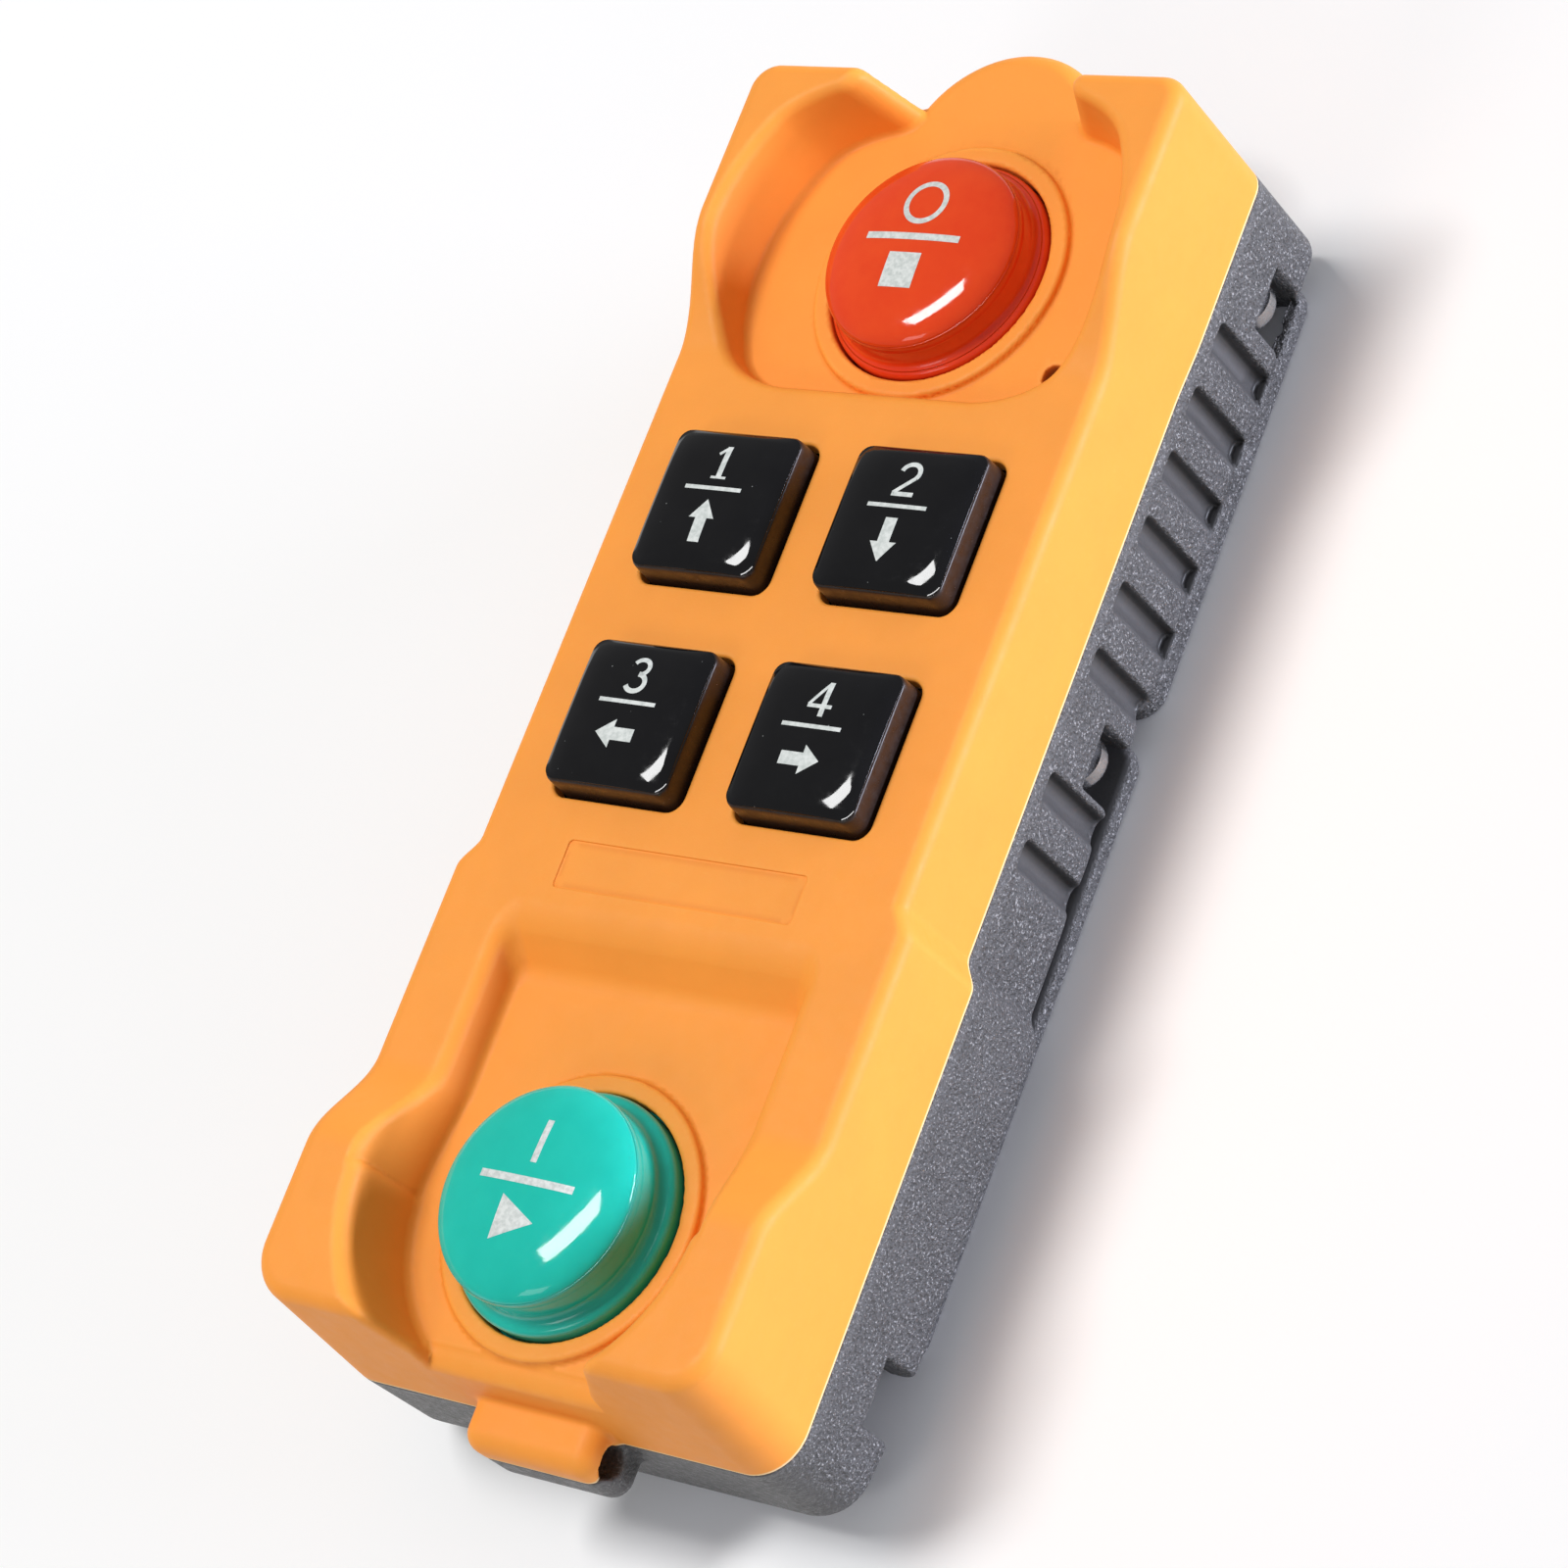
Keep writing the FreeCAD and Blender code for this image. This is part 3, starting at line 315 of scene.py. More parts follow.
def settle(field, points, rounds=3, limit=0.3):
    """Moves points onto the zero surface of a field."""
    for _ in range(rounds):
        slope = slope_of(field, points)
        steep = np.maximum((slope ** 2).sum(1), 0.2)
        move = -(field(*points.T) / steep)[:, None] * slope
        size = np.linalg.norm(move, axis=1, keepdims=True)
        points = points + move * np.minimum(1, limit / np.maximum(size, 1e-9))
    return points


def mesh_object(name, points, faces, body, slot, smooth=True):
    """Links a mesh given in millimetres and rides it on a body."""
    mesh = bpy.data.meshes.new(name)
    mesh.from_pydata((np.asarray(points) * MM).tolist(), [], [list(f) for f in faces])
    mesh.validate()
    mesh.polygons.foreach_set("use_smooth", [smooth] * len(mesh.polygons))
    piece = bpy.data.objects.new(name, mesh)
    bpy.context.scene.collection.objects.link(piece)
    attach(piece, body)
    return piece


def apply_modifiers(piece):
    """Turns the modified shape into the piece's own mesh."""
    graph = bpy.context.evaluated_depsgraph_get()
    mesh = bpy.data.meshes.new_from_object(piece.evaluated_get(graph))
    piece.modifiers.clear()
    piece.data = mesh


def points_of(mesh):
    """The places of a mesh's vertices, in metres."""
    flat = np.zeros(len(mesh.vertices) * 3)
    mesh.vertices.foreach_get("co", flat)
    return flat.reshape(-1, 3)


def put_attribute(mesh, name, values):
    """Keeps one number a vertex, for the materials to read."""
    layer = mesh.attributes.new(name, "FLOAT", "POINT")
    layer.data.foreach_set("value", np.asarray(values, np.float32))


BEND_REACH = 0.35


def moulded(name, field, lines, body, slot, most_triangles, smooth_and_shaded_parts=None):
    """A moulded shell: its field meshed, thinned where flat and shaded from the field itself.

    The attribute bend is above zero on outer edges and below zero in creases."""
    points, quads = surface_of(field, *lines)
    points = settle(field, points)
    piece = mesh_object(name, points, quads, body, slot)
    triangles = 2 * len(quads)
    if triangles > most_triangles:
        thin = piece.modifiers.new("thin", "DECIMATE")
        thin.ratio = most_triangles / triangles
        apply_modifiers(piece)
    mesh = piece.data
    points = settle(field, points_of(mesh) / MM, 2, 0.1)
    mesh.vertices.foreach_set("co", (points * MM).ravel())
    slope = slope_of(field, points)
    normals = slope / np.maximum(np.linalg.norm(slope, axis=1, keepdims=True), 1e-9)
    bend = sum(
        (slope_of(field, points + BEND_REACH * axis, 0.05) * axis).sum(1)
        - (slope_of(field, points - BEND_REACH * axis, 0.05) * axis).sum(1)
        for axis in np.eye(3)) / (2 * BEND_REACH)
    put_attribute(mesh, "bend", np.clip(bend, -3, 3))
    if smooth_and_shaded_parts is not None:
        put_attribute(mesh, "plain", smooth_and_shaded_parts(points))
    mesh.polygons.foreach_set("use_smooth", [True] * len(mesh.polygons))
    mesh.normals_split_custom_set_from_vertices(normals.tolist())
    return piece


def eased(corners, steps=5):
    """A path of (radius, height, round-off) corners with each corner turned into an arc."""
    path = []
    for index, (across, up, radius) in enumerate(corners):
        here = np.array([across, up], float)
        if radius <= 0 or index in (0, len(corners) - 1):
            path.append(here)
            continue
        before = np.array(corners[index - 1][:2], float) - here
        after = np.array(corners[index + 1][:2], float) - here
        before, after = before / np.linalg.norm(before), after / np.linalg.norm(after)
        half = math.acos(np.clip(before @ after, -1, 1)) / 2
        reach = radius / math.tan(half)
        inwards = (before + after) / np.linalg.norm(before + after)
        middle = here + inwards * radius / math.sin(half)
        start, end = here + before * reach - middle, here + after * reach - middle
        turn = math.atan2(start[0] * end[1] - start[1] * end[0], start @ end)
        for share in np.linspace(0, 1, steps + 1):
            c, s = math.cos(turn * share), math.sin(turn * share)
            path.append(middle + np.array([c * start[0] - s * start[1], s * start[0] + c * start[1]]))
    return np.array(path)


def fair_normals(piece):
    """Weights the normals by face size, so flats stay flat beside small round-offs."""
    piece.modifiers.new("fair", "WEIGHTED_NORMAL").weight = 100
    apply_modifiers(piece)


def lathe(name, path, centre, body, slot, around=160):
    """A solid turned about a vertical axis; the path runs from axis to axis."""
    rings = path[1:-1]
    angles = np.linspace(0, 2 * math.pi, around, endpoint=False)
    points = [(centre[0] + r * math.cos(a), centre[1] + r * math.sin(a), z)
              for r, z in rings for a in angles]
    low, high = len(points), len(points) + 1
    points += [(centre[0], centre[1], path[0][1]), (centre[0], centre[1], path[-1][1])]
    faces = []
    for row in range(len(rings) - 1):
        for step in range(around):
            a, b = row * around + step, row * around + (step + 1) % around
            faces.append((a, b, b + around, a + around))
    last = (len(rings) - 1) * around
    for step in range(around):
        following = (step + 1) % around
        faces.append((low, following, step))
        faces.append((high, last + step, last + following))
    piece = mesh_object(name, points, faces, body, slot)
    fair_normals(piece)
    return piece


def square_ring(half_x, half_y, radius, per_corner=7, per_side=8):
    """Points round a square with rounded corners, counterclockwise."""
    spots = []
    for quarter, (sx, sy) in enumerate(((1, 1), (-1, 1), (-1, -1), (1, -1))):
        centre = np.array([sx * (half_x - radius), sy * (half_y - radius)])
        angles = np.linspace(quarter, quarter + 1, per_corner) * math.pi / 2
        arc = [centre + radius * np.array([math.cos(a), math.sin(a)]) for a in angles]
        nx, ny = ((-1, 1), (-1, -1), (1, -1), (1, 1))[quarter]
        across = np.array([nx * (half_x - radius), ny * (half_y - radius)])
        following = across + radius * np.array([math.cos(angles[-1]), math.sin(angles[-1])])
        spots += arc + [arc[-1] + (following - arc[-1]) * k / per_side for k in range(1, per_side)]
    return np.array(spots)


def lofted(name, rings, centre, body, slot):
    """A closed solid through rounded squares, each (half x, half y, radius, height or rule)."""
    points, faces = [], []
    for half_x, half_y, radius, height in rings:
        ring = square_ring(half_x, half_y, radius)
        rise = [height(x, y) if callable(height) else height for x, y in ring]
        points += [(x + centre[0], y + centre[1], z) for (x, y), z in zip(ring, rise)]
    count = len(points) // len(rings)
    for row in range(len(rings) - 1):
        for step in range(count):
            a, b = row * count + step, row * count + (step + 1) % count
            faces.append((a, b, b + count, a + count))
    faces.append(tuple(reversed(range(count))))
    faces.append(tuple(range((len(rings) - 1) * count, len(rings) * count)))
    piece = mesh_object(name, points, faces, body, slot)
    fair_normals(piece)
    return piece


# ---------------------------------------------------------------- moulded shells

def front_lines():
    """A grid that is fine at the nameplate's edges, the indicator hole and the parting edge."""
    xs = [(-PLATE_X, 0.4, 0.1), (PLATE_X, 0.4, 0.1), (LAMP_SPOT[0], 1.5, 0.25)]
    ys = [(PLATE_Y - 2.5, 0.4, 0.1), (PLATE_Y + 2.5, 0.4, 0.1), (LAMP_SPOT[1], 1.5, 0.25)]
    zs = [(16.25, 0.5, 0.2), (28.5, 0.35, 0.1)]
    return grid_lines(-28, 28, 0.45, xs), grid_lines(-75, 75, 0.45, ys), grid_lines(15.6, 34.0, 0.45, zs)


def back_lines():
    """A grid that is fine where the finger grooves end and at the parting edge."""
    xs = [(-24.6, 1.0, 0.25), (24.6, 1.0, 0.25)]
    return (grid_lines(-28, 28, 0.45, xs), grid_lines(-75, 75, 0.42),
            grid_lines(-0.5, 18.9, 0.45, [(15.9, 0.5, 0.2)]))


def door_lines():
    return grid_lines(-26, 26, 0.5), grid_lines(-55, 12, 0.4), grid_lines(-0.4, 5.4, 0.2)


def is_smooth_and_shaded(points):
    """One where the grey shell is smooth and drawn darker, the darkening partly painted shade:
    groove floors and walls, pockets, foot and inside.
    """
    x, y, z = points.T
    in_groove = ramp((0.55 - groove_field(x, y, z)) / 0.35) * ramp((25.35 - np.abs(x)) / 0.3)
    # On the curved-under foot the smoother, darker tone is partly painted shade.
    foot = ramp((-66.5 - y) / 2.0) * 0.55
    inside = ramp((-1.2 - plan(x, y, z, 0)) / 0.5) * ramp((z - 3) / 1.0)
    return np.clip(np.maximum(np.maximum(in_groove, foot), inside), 0, 1)


def is_inner_door(points):
    """One on the inner side of the battery door, which is polished."""
    return ramp((points[:, 2] - 1.6) / 0.4)


front = moulded("front_shell_moulding", front_field, front_lines(), "case", "case_orange", 170000)
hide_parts("front_shell")
back = moulded("back_shell_moulding", back_field, back_lines(), "case", "case_grey", 180000, is_smooth_and_shaded)
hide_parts("back_shell")
door = moulded("battery_door_moulding", door_field, door_lines(), "door", "case_grey", 60000,
               is_inner_door)
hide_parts("battery_door")


# ---------------------------------------------------------------- buttons and keys

SEAT = CEILING - 0.5
PLUNGER_TOP = 18.2
FLANGE_RADIUS, SKIRT_RADIUS = 13.6, 12.05
DOME_RADIUS, DOME_RISE, DOME_POWER = 10.8, 2.65, 2.4
LENS_RADIUS = 10.7


def dome(apex):
    """The height of a round cap at a distance from its middle: flat inside, steep outside."""
    def height(r):
        inner = 1 - np.minimum(r / DOME_RADIUS, 1) ** DOME_POWER
        return apex - DOME_RISE * (1 - inner ** (1 / DOME_POWER))
    return height


def dome_path(apex, start, end, count):
    """Points (radius, height) along a dome between two radii."""
    turns = [math.acos((r / DOME_RADIUS) ** (DOME_POWER / 2)) for r in (start, end)]
    radii = DOME_RADIUS * np.cos(np.linspace(*turns, count)) ** (2 / DOME_POWER)
    return [(r, dome(apex)(r)) for r in radii]


def round_button(name, along, apex, flange, waist):
    """One round button: a waisted cap with a flange under the case, and its domed lens."""
    body = f"{name}_button"
    slot = {"stop": "stop_red", "start": "start_teal"}[name]
    height = dome(apex)
    edge = apex - DOME_RISE
    seat = height(LENS_RADIUS) - 0.4
    sides = eased([
        (0, PLUNGER_TOP, 0), (3.0, PLUNGER_TOP, 0.3), (3.0, SEAT - 1.5, 0.4),
        (FLANGE_RADIUS, SEAT - 1.5, 0.3), (FLANGE_RADIUS, SEAT, 0.3), (SKIRT_RADIUS, SEAT, 0.2),
        (SKIRT_RADIUS, flange, 0.8), (waist, flange + 0.4, 1.1),
        (DOME_RADIUS - 0.12, edge - 0.7, 0.7), (DOME_RADIUS, edge, 0)], 8)
    rim = dome_path(apex, DOME_RADIUS, LENS_RADIUS + 0.03, 6)[1:]
    well = [(LENS_RADIUS + 0.02, rim[-1][1] - 0.03), (LENS_RADIUS + 0.02, seat), (0, seat)]
    cap = lathe(f"{name}_cap_moulding", [*sides, *rim, *well], (0, along), body, slot)
    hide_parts(f"{name}_cap")
    foot = [(0, seat - 0.1), (LENS_RADIUS, seat - 0.1), (LENS_RADIUS, height(LENS_RADIUS) - 0.03)]
    top = dome_path(apex, LENS_RADIUS - 0.01, 0.001, 32)
    lens = lathe(f"{name}_lens", [*foot, *top, (0, apex)], (0, along), body, slot)
    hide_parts(f"{name}_legend")
    return cap, lens, height


stop_cap, stop_lens, stop_height = round_button("stop", STOP_Y, 31.4, 25.8, 10.95)
start_cap, start_lens, start_height = round_button("start", START_Y, 33.1, 26.6, 10.6)

KEY_TOP, KEY_INSIDE = 31.0, 30.98
PILLOW_X, PILLOW_Y, PILLOW_EDGE, PILLOW_RISE, PILLOW_FALL = 7.45, 7.5, 0.9, 1.15, 0.75


def pillow(x, y):
    """The height of a key's lens inside its rounded edge."""
    return KEY_TOP + PILLOW_RISE - PILLOW_FALL * ((x / PILLOW_X) ** 4 + (y / PILLOW_Y) ** 4)


def polish(piece, centre):
    """Gives the top of a lens its exact slopes, so that reflections stay clean."""
    mesh = piece.data
    normals = np.array([tuple(corner.vector) for corner in mesh.corner_normals])
    spots = np.array([tuple(vertex.co) for vertex in mesh.vertices]) / MM
    x, y, z = (spots[[corner.vertex_index for corner in mesh.loops]] - (*centre, 0)).T
    exact = np.stack([4 * PILLOW_FALL * x ** 3 / PILLOW_X ** 4,
                      4 * PILLOW_FALL * y ** 3 / PILLOW_Y ** 4, np.ones(len(x))], axis=1)
    exact /= np.linalg.norm(exact, axis=1, keepdims=True)
    top = (np.abs(x) < PILLOW_X - PILLOW_EDGE + 0.01) & (
        np.abs(y) < PILLOW_Y - PILLOW_EDGE + 0.01) & (z > KEY_TOP)
    mesh.normals_split_custom_set(np.where(top[:, None], exact, normals).tolist())


def key_pieces(name, spot):
    """One square key: its flanged body and the pillow-shaped lens on top."""
    body = f"{name}_key"
    rings = [(8.5, 8.8, 1.7, 24.7), (8.5, 8.8, 1.7, 26.1), (8.4, 8.7, 1.6, 26.2), (7.7, 8.0, 1.5, 26.2),
             (7.6, 7.9, 1.4, 26.35), (7.52, 7.72, 1.35, 30.3), (7.5, 7.66, 1.35, 30.75),
             (7.4, 7.5, 1.3, 30.93), (7.2, 7.3, 1.2, KEY_INSIDE), (3.5, 3.5, 0.6, KEY_INSIDE)]
    cap = lofted(f"key_{name}_moulding", rings, spot, body, "key_black")
    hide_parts(f"key_{name}_cap")
    rings = [(3.5, 3.5, 0.6, KEY_TOP - 0.3), (PILLOW_X - 0.35, PILLOW_Y - 0.35, 1.2, KEY_TOP - 0.3),
             (PILLOW_X - 0.3, PILLOW_Y - 0.3, 1.2, KEY_TOP - 0.06)]
    for share in np.linspace(0.06, 1, 10):
        inset = PILLOW_EDGE * (1 - math.cos(share * math.pi / 2))
        lift = math.sin(share * math.pi / 2)

        def edge_height(x, y, lift=lift):
            return KEY_TOP + (pillow(x, y) - KEY_TOP) * lift

        rings.append((PILLOW_X - inset, PILLOW_Y - inset, 1.3 - 0.25 * inset, edge_height))
    for inset in np.linspace(PILLOW_EDGE, 6.9, 20)[1:]:
        rings.append((PILLOW_X - inset, PILLOW_Y - inset, max(1.3 - 0.25 * inset, 0.12), pillow))
    rings[-1] = (0.5, 0.55, 0.12, pillow)
    lens = lofted(f"key_{name}_lens", rings, spot, body, "key_black")
    polish(lens, spot)
    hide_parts(f"key_{name}_legend")
    return cap, lens


key_parts = {name: key_pieces(name, spot) for name, spot in KEYS.items()}


# ---------------------------------------------------------------- printed marks

def strip(path, widths, height, closed=False, columns=4, thick=0.07, proud=0.012):
    """A printed stroke that follows a curved top: points and faces of one thin closed film."""
    path = np.array(path, float)
    count = len(path)
    if closed:
        along = np.roll(path, -1, 0) - np.roll(path, 1, 0)
    else:
        along = np.gradient(path, axis=0)
    along /= np.maximum(np.linalg.norm(along, axis=1, keepdims=True), 1e-9)
    side = np.stack([-along[:, 1], along[:, 0]], 1)
    widths = np.broadcast_to(widths, (count,))
    shares = np.linspace(-0.5, 0.5, columns + 1)
    top = [(p + n * w * t) for p, n, w in zip(path, side, widths) for t in shares]
    points = [(x, y, height(x, y) + proud) for x, y in top]
    points += [(x, y, height(x, y) - thick) for x, y in top]
    row, under = columns + 1, count * (columns + 1)
    faces = []
    rows = range(count if closed else count - 1)
    for i in rows:
        j = (i + 1) % count
        for k in range(columns):
            a, b, c, d = i * row + k, j * row + k, j * row + k + 1, i * row + k + 1
            faces.append((a, b, c, d))
            faces.append((d + under, c + under, b + under, a + under))
        first, following = i * row, j * row
        faces.append((first, first + under, following + under, following))
        last, after = i * row + columns, j * row + columns
        faces.append((after, after + under, last + under, last))
    if not closed:
        end = (count - 1) * row
        for k in range(columns):
            faces.append((k, k + 1, k + 1 + under, k + under))
            faces.append((end + k + 1, end + k, end + k + under, end + k + 1 + under))
    return points, faces


def line(start, end, step=0.5):
    """Points along a straight stroke."""
    start, end = np.array(start, float), np.array(end, float)
    count = max(int(np.linalg.norm(end - start) / step) + 1, 3)
    return start + (end - start) * np.linspace(0, 1, count)[:, None]


def arc(centre, radius_x, radius_y, start, end, count=22):
    """Points along a bow between two angles in degrees."""
    angles = np.radians(np.linspace(start, end, count))
    bow = np.stack([radius_x * np.cos(angles), radius_y * np.sin(angles)], 1)
    return centre + bow


def arrow(tail, tip, shaft, head, head_length):
    """A filled arrow as one strip whose width changes at the barbs."""
    tail, tip = np.array(tail, float), np.array(tip, float)
    heading = (tip - tail) / np.linalg.norm(tip - tail)
    neck = tip - heading * head_length
    shaft_path = line(tail, neck, 0.4)
    head_path = line(neck, tip, 0.25)
    widths = np.linspace(head, 0.04, len(head_path))
    return [(shaft_path, shaft), (head_path, widths)]


def numeral(figure, x, y):
    """A generic numeral 3.6 high whose foot is centred on a point."""
    if figure == 1:
        return [(line((x, y), (x, y + 3.6)), 0.62),
                (line((x - 0.95, y + 2.7), (x - 0.1, y + 3.45)), 0.34),
                (line((x - 0.9, y + 0.12), (x + 0.9, y + 0.12)), 0.26)]
    if figure == 2:
        bowl = arc((x, y + 2.55), 1.05, 0.95, 170, -35)
        return [(bowl, 0.5), (line(bowl[-1], (x - 1.15, y + 0.3)), 0.42),
                (line((x - 1.25, y + 0.22), (x + 1.2, y + 0.22)), 0.46)]
    if figure == 3:
        return [(arc((x - 0.05, y + 2.7), 0.95, 0.82, 155, -85), 0.48),
                (arc((x - 0.05, y + 1.02), 1.1, 0.92, 88, -155), 0.52)]
    return [(line((x + 0.4, y), (x + 0.4, y + 3.6)), 0.56),
            (line((x + 0.3, y + 3.5), (x - 1.3, y + 1.15)), 0.34),
            (line((x - 1.4, y + 1.05), (x + 1.35, y + 1.05)), 0.4)]


def print_marks(name, strokes, centre, height, body, slot):
    """Strokes, each (path, width) or (path, width, True) when closed, laid on a curved top."""
    points, faces = [], []
    for path, width, *closed in strokes:
        more, extra = strip(path, width, height, bool(closed))
        offset = len(points)
        points += [(x + centre[0], y + centre[1], z) for x, y, z in more]
        faces += [tuple(v + offset for v in face) for face in extra]
    return mesh_object(name, points, faces, body, slot, smooth=False)


BAR_Y = 0.9
KEY_ARROWS = {"up": ((0, -4.9), (0, -0.35)), "down": ((0, -0.35), (0, -4.9)),
              "left": ((2.2, -2.5), (-2.3, -2.5)), "right": ((-2.2, -2.5), (2.3, -2.5))}


def key_marks(figure, name, spot):
    """A numeral over a bar over an arrow."""
    strokes = [(line((-3.4, BAR_Y), (3.4, BAR_Y)), 0.42)]
    strokes += numeral(figure, 0.1, 1.95)
    strokes += arrow(*KEY_ARROWS[name], 1.35, 3.0, 2.0)
    return print_marks(f"key_{name}_marks", strokes, spot, pillow, f"{name}_key", "key_black")


def round_marks(name, symbols, along, height, slot):
    """A bar across the middle of a round button, with symbols above and below it."""
    def height_at(x, y):
        return height(math.hypot(x, y))

    strokes = [(line((-5.5, 0.5), (5.5, 0.5)), 0.75), *symbols]
    return print_marks(f"{name}_marks", strokes, (0, along), height_at, f"{name}_button", slot)


RING_AND_SQUARE = [(arc((0, 4.4), 2.2, 2.2, 0, 352.5, 48), 0.6, True),
                   (line((-1.9, -3.2), (1.9, -3.2)), 3.8)]
STROKE_AND_TRIANGLE = [(line((0, 2.3), (0, 6.6)), 0.7),
                       (line((-1.9, -3.3), (2.5, -3.3)), np.linspace(4.4, 0.04, 9))]
marks = [key_marks(figure, name, spot) for figure, (name, spot) in enumerate(KEYS.items(), start=1)]
marks.append(round_marks("stop", RING_AND_SQUARE, STOP_Y, stop_height, "stop_red"))
marks.append(round_marks("start", STROKE_AND_TRIANGLE, START_Y, start_height, "start_teal"))


# ---------------------------------------------------------------- materials

class Finish:
    """A principled material with a few node helpers; sizes are in millimetres."""

    def __init__(self, name, roughness, **sockets):
        self.material = bpy.data.materials.new(name)
        self.material.use_nodes = True
        self.tree = self.material.node_tree
        self.shader = self.tree.nodes["Principled BSDF"]
        self.shader.inputs["Roughness"].default_value = roughness
        for socket, value in sockets.items():
            self.shader.inputs[socket.replace("_", " ")].default_value = value
        self.place = self.node("ShaderNodeTexCoord").outputs["Object"]
        self.bumped = None

    def node(self, kind, **settings):
        made = self.tree.nodes.new(kind)
        for key, value in settings.items():
            setattr(made, key, value)
        return made

    def feed(self, socket, value):
        """Joins another node's output to a socket, or sets the socket to a plain value."""
        if isinstance(value, bpy.types.NodeSocket):
            self.tree.links.new(value, socket)
        else:
            socket.default_value = value

    def stretched(self, scale):
        made = self.node("ShaderNodeMapping")
        self.feed(made.inputs["Vector"], self.place)
        made.inputs["Scale"].default_value = scale
        return made.outputs["Vector"]

    def noise(self, size, detail=3.0, roughness=0.55, place=None):
        made = self.node("ShaderNodeTexNoise")
        self.feed(made.inputs["Vector"], place or self.place)
        made.inputs["Scale"].default_value = 1000.0 / size
        made.inputs["Detail"].default_value = detail
        made.inputs["Roughness"].default_value = roughness
        return made.outputs["Fac"]

    def cells(self, size, randomness=1.0):
        made = self.node("ShaderNodeTexVoronoi")
        self.feed(made.inputs["Vector"], self.place)
        made.inputs["Scale"].default_value = 1000.0 / size
        made.inputs["Randomness"].default_value = randomness
        return made.outputs["Distance"]

    def attribute(self, name):
        return self.node("ShaderNodeAttribute", attribute_name=name).outputs["Fac"]

    def remap(self, value, low, high, to_low=0.0, to_high=1.0):
        made = self.node("ShaderNodeMapRange")
        self.feed(made.inputs["Value"], value)
        for socket, number in (("From Min", low), ("From Max", high),
                               ("To Min", to_low), ("To Max", to_high)):
            made.inputs[socket].default_value = number
        return made.outputs["Result"]

    def maths(self, operation, a, b):
        made = self.node("ShaderNodeMath", operation=operation)
        self.feed(made.inputs[0], a)
        self.feed(made.inputs[1], b)
        return made.outputs[0]

    def blend(self, share, a, b):
        made = self.node("ShaderNodeMix", data_type="RGBA")
        self.feed(made.inputs[0], share)
        for socket, colour in ((made.inputs[6], a), (made.inputs[7], b)):
            self.feed(socket, colour if isinstance(colour, bpy.types.NodeSocket) else (*colour, 1))
        return made.outputs[2]

    def colour(self, value):
        self.feed(self.shader.inputs["Base Color"], value)

    def rough(self, value):
        self.feed(self.shader.inputs["Roughness"], value)

    def bump(self, height, depth):
        """Adds relief whose full height, in millimetres, is depth."""
        made = self.node("ShaderNodeBump")
        made.inputs["Strength"].default_value = 1.0
        made.inputs["Distance"].default_value = depth * MM
        self.feed(made.inputs["Height"], height)
        if self.bumped is not None:
            self.feed(made.inputs["Normal"], self.bumped)
        self.bumped = made.outputs["Normal"]
        self.feed(self.shader.inputs["Normal"], self.bumped)

    def give(self, *pieces):
        for piece in pieces:
            piece.data.materials.clear()
            piece.data.materials.append(self.material)


def tint(colour, gain):
    """A lighter or darker version of a colour."""
    return tuple(min(1.0, c * gain) for c in colour)


ORANGE = (0.95, 0.335, 0.044)
PALE_ORANGE = (1.0, 0.46, 0.10)
GREY = (0.081, 0.080, 0.081)


def orange_finish():
    """Satin orange plastic: faint mottle and specks, paler edges, a pale line of flash at the
    parting edge, painted shade in creases and painted shade inside the indicator hole."""
    made = Finish("orange_plastic", 0.55, Subsurface_Weight=0.05, Subsurface_Scale=0.002,
                  Specular_IOR_Level=0.32)
    mottle = made.remap(made.noise(9.0, 4.0), 0.32, 0.68)
    base = made.blend(mottle, tint(ORANGE, 0.965), tint(ORANGE, 1.02))
    specks = made.remap(made.noise(0.55, 2.0), 0.66, 0.74)
    base = made.blend(made.maths("MULTIPLY", specks, 0.10), base, PALE_ORANGE)
    worn = made.remap(made.attribute("bend"), 0.3, 1.5)
    worn = made.maths("MULTIPLY", worn, made.remap(made.noise(2.2, 4.0), 0.35, 0.7, 0.04, 0.22))
    base = made.blend(worn, base, PALE_ORANGE)
    parted = made.node("ShaderNodeSeparateXYZ")
    made.feed(parted.inputs[0], made.place)
    flash = made.remap(parted.outputs["Z"], 16.55 * MM, 16.40 * MM, 0.0, 0.75)
    base = made.blend(flash, base, (1.0, 0.78, 0.45))
    # Painted shade inside the indicator hole: the orange darkens within 2.15 mm of a point in its depth.
    offset = made.node("ShaderNodeVectorMath", operation="SUBTRACT")
    made.feed(offset.inputs[0], made.place)
    offset.inputs[1].default_value = [v * MM for v in (*LAMP_SPOT, LAMP_DEPTH)]
    reach = made.node("ShaderNodeVectorMath", operation="LENGTH")
    made.feed(reach.inputs[0], offset.outputs[0])
    shade = made.remap(reach.outputs["Value"], 2.15 * MM, 1.5 * MM, 0.0, 0.7)
    base = made.blend(shade, base, (0.30, 0.075, 0.008))
    # Painted shade: creases, where bend is below zero, are drawn a darker orange.
    painted_shade_in_creases = made.remap(made.attribute("bend"), -0.5, -2.0, 0.0, 0.35)
    made.colour(made.blend(painted_shade_in_creases, base, (0.72, 0.19, 0.012)))
    made.rough(made.remap(made.noise(1.6, 4.0), 0.3, 0.7, 0.50, 0.62))
    made.bump(made.noise(0.32, 2.0), 0.010)
    made.bump(made.noise(7.0, 2.0), 0.05)
    return made


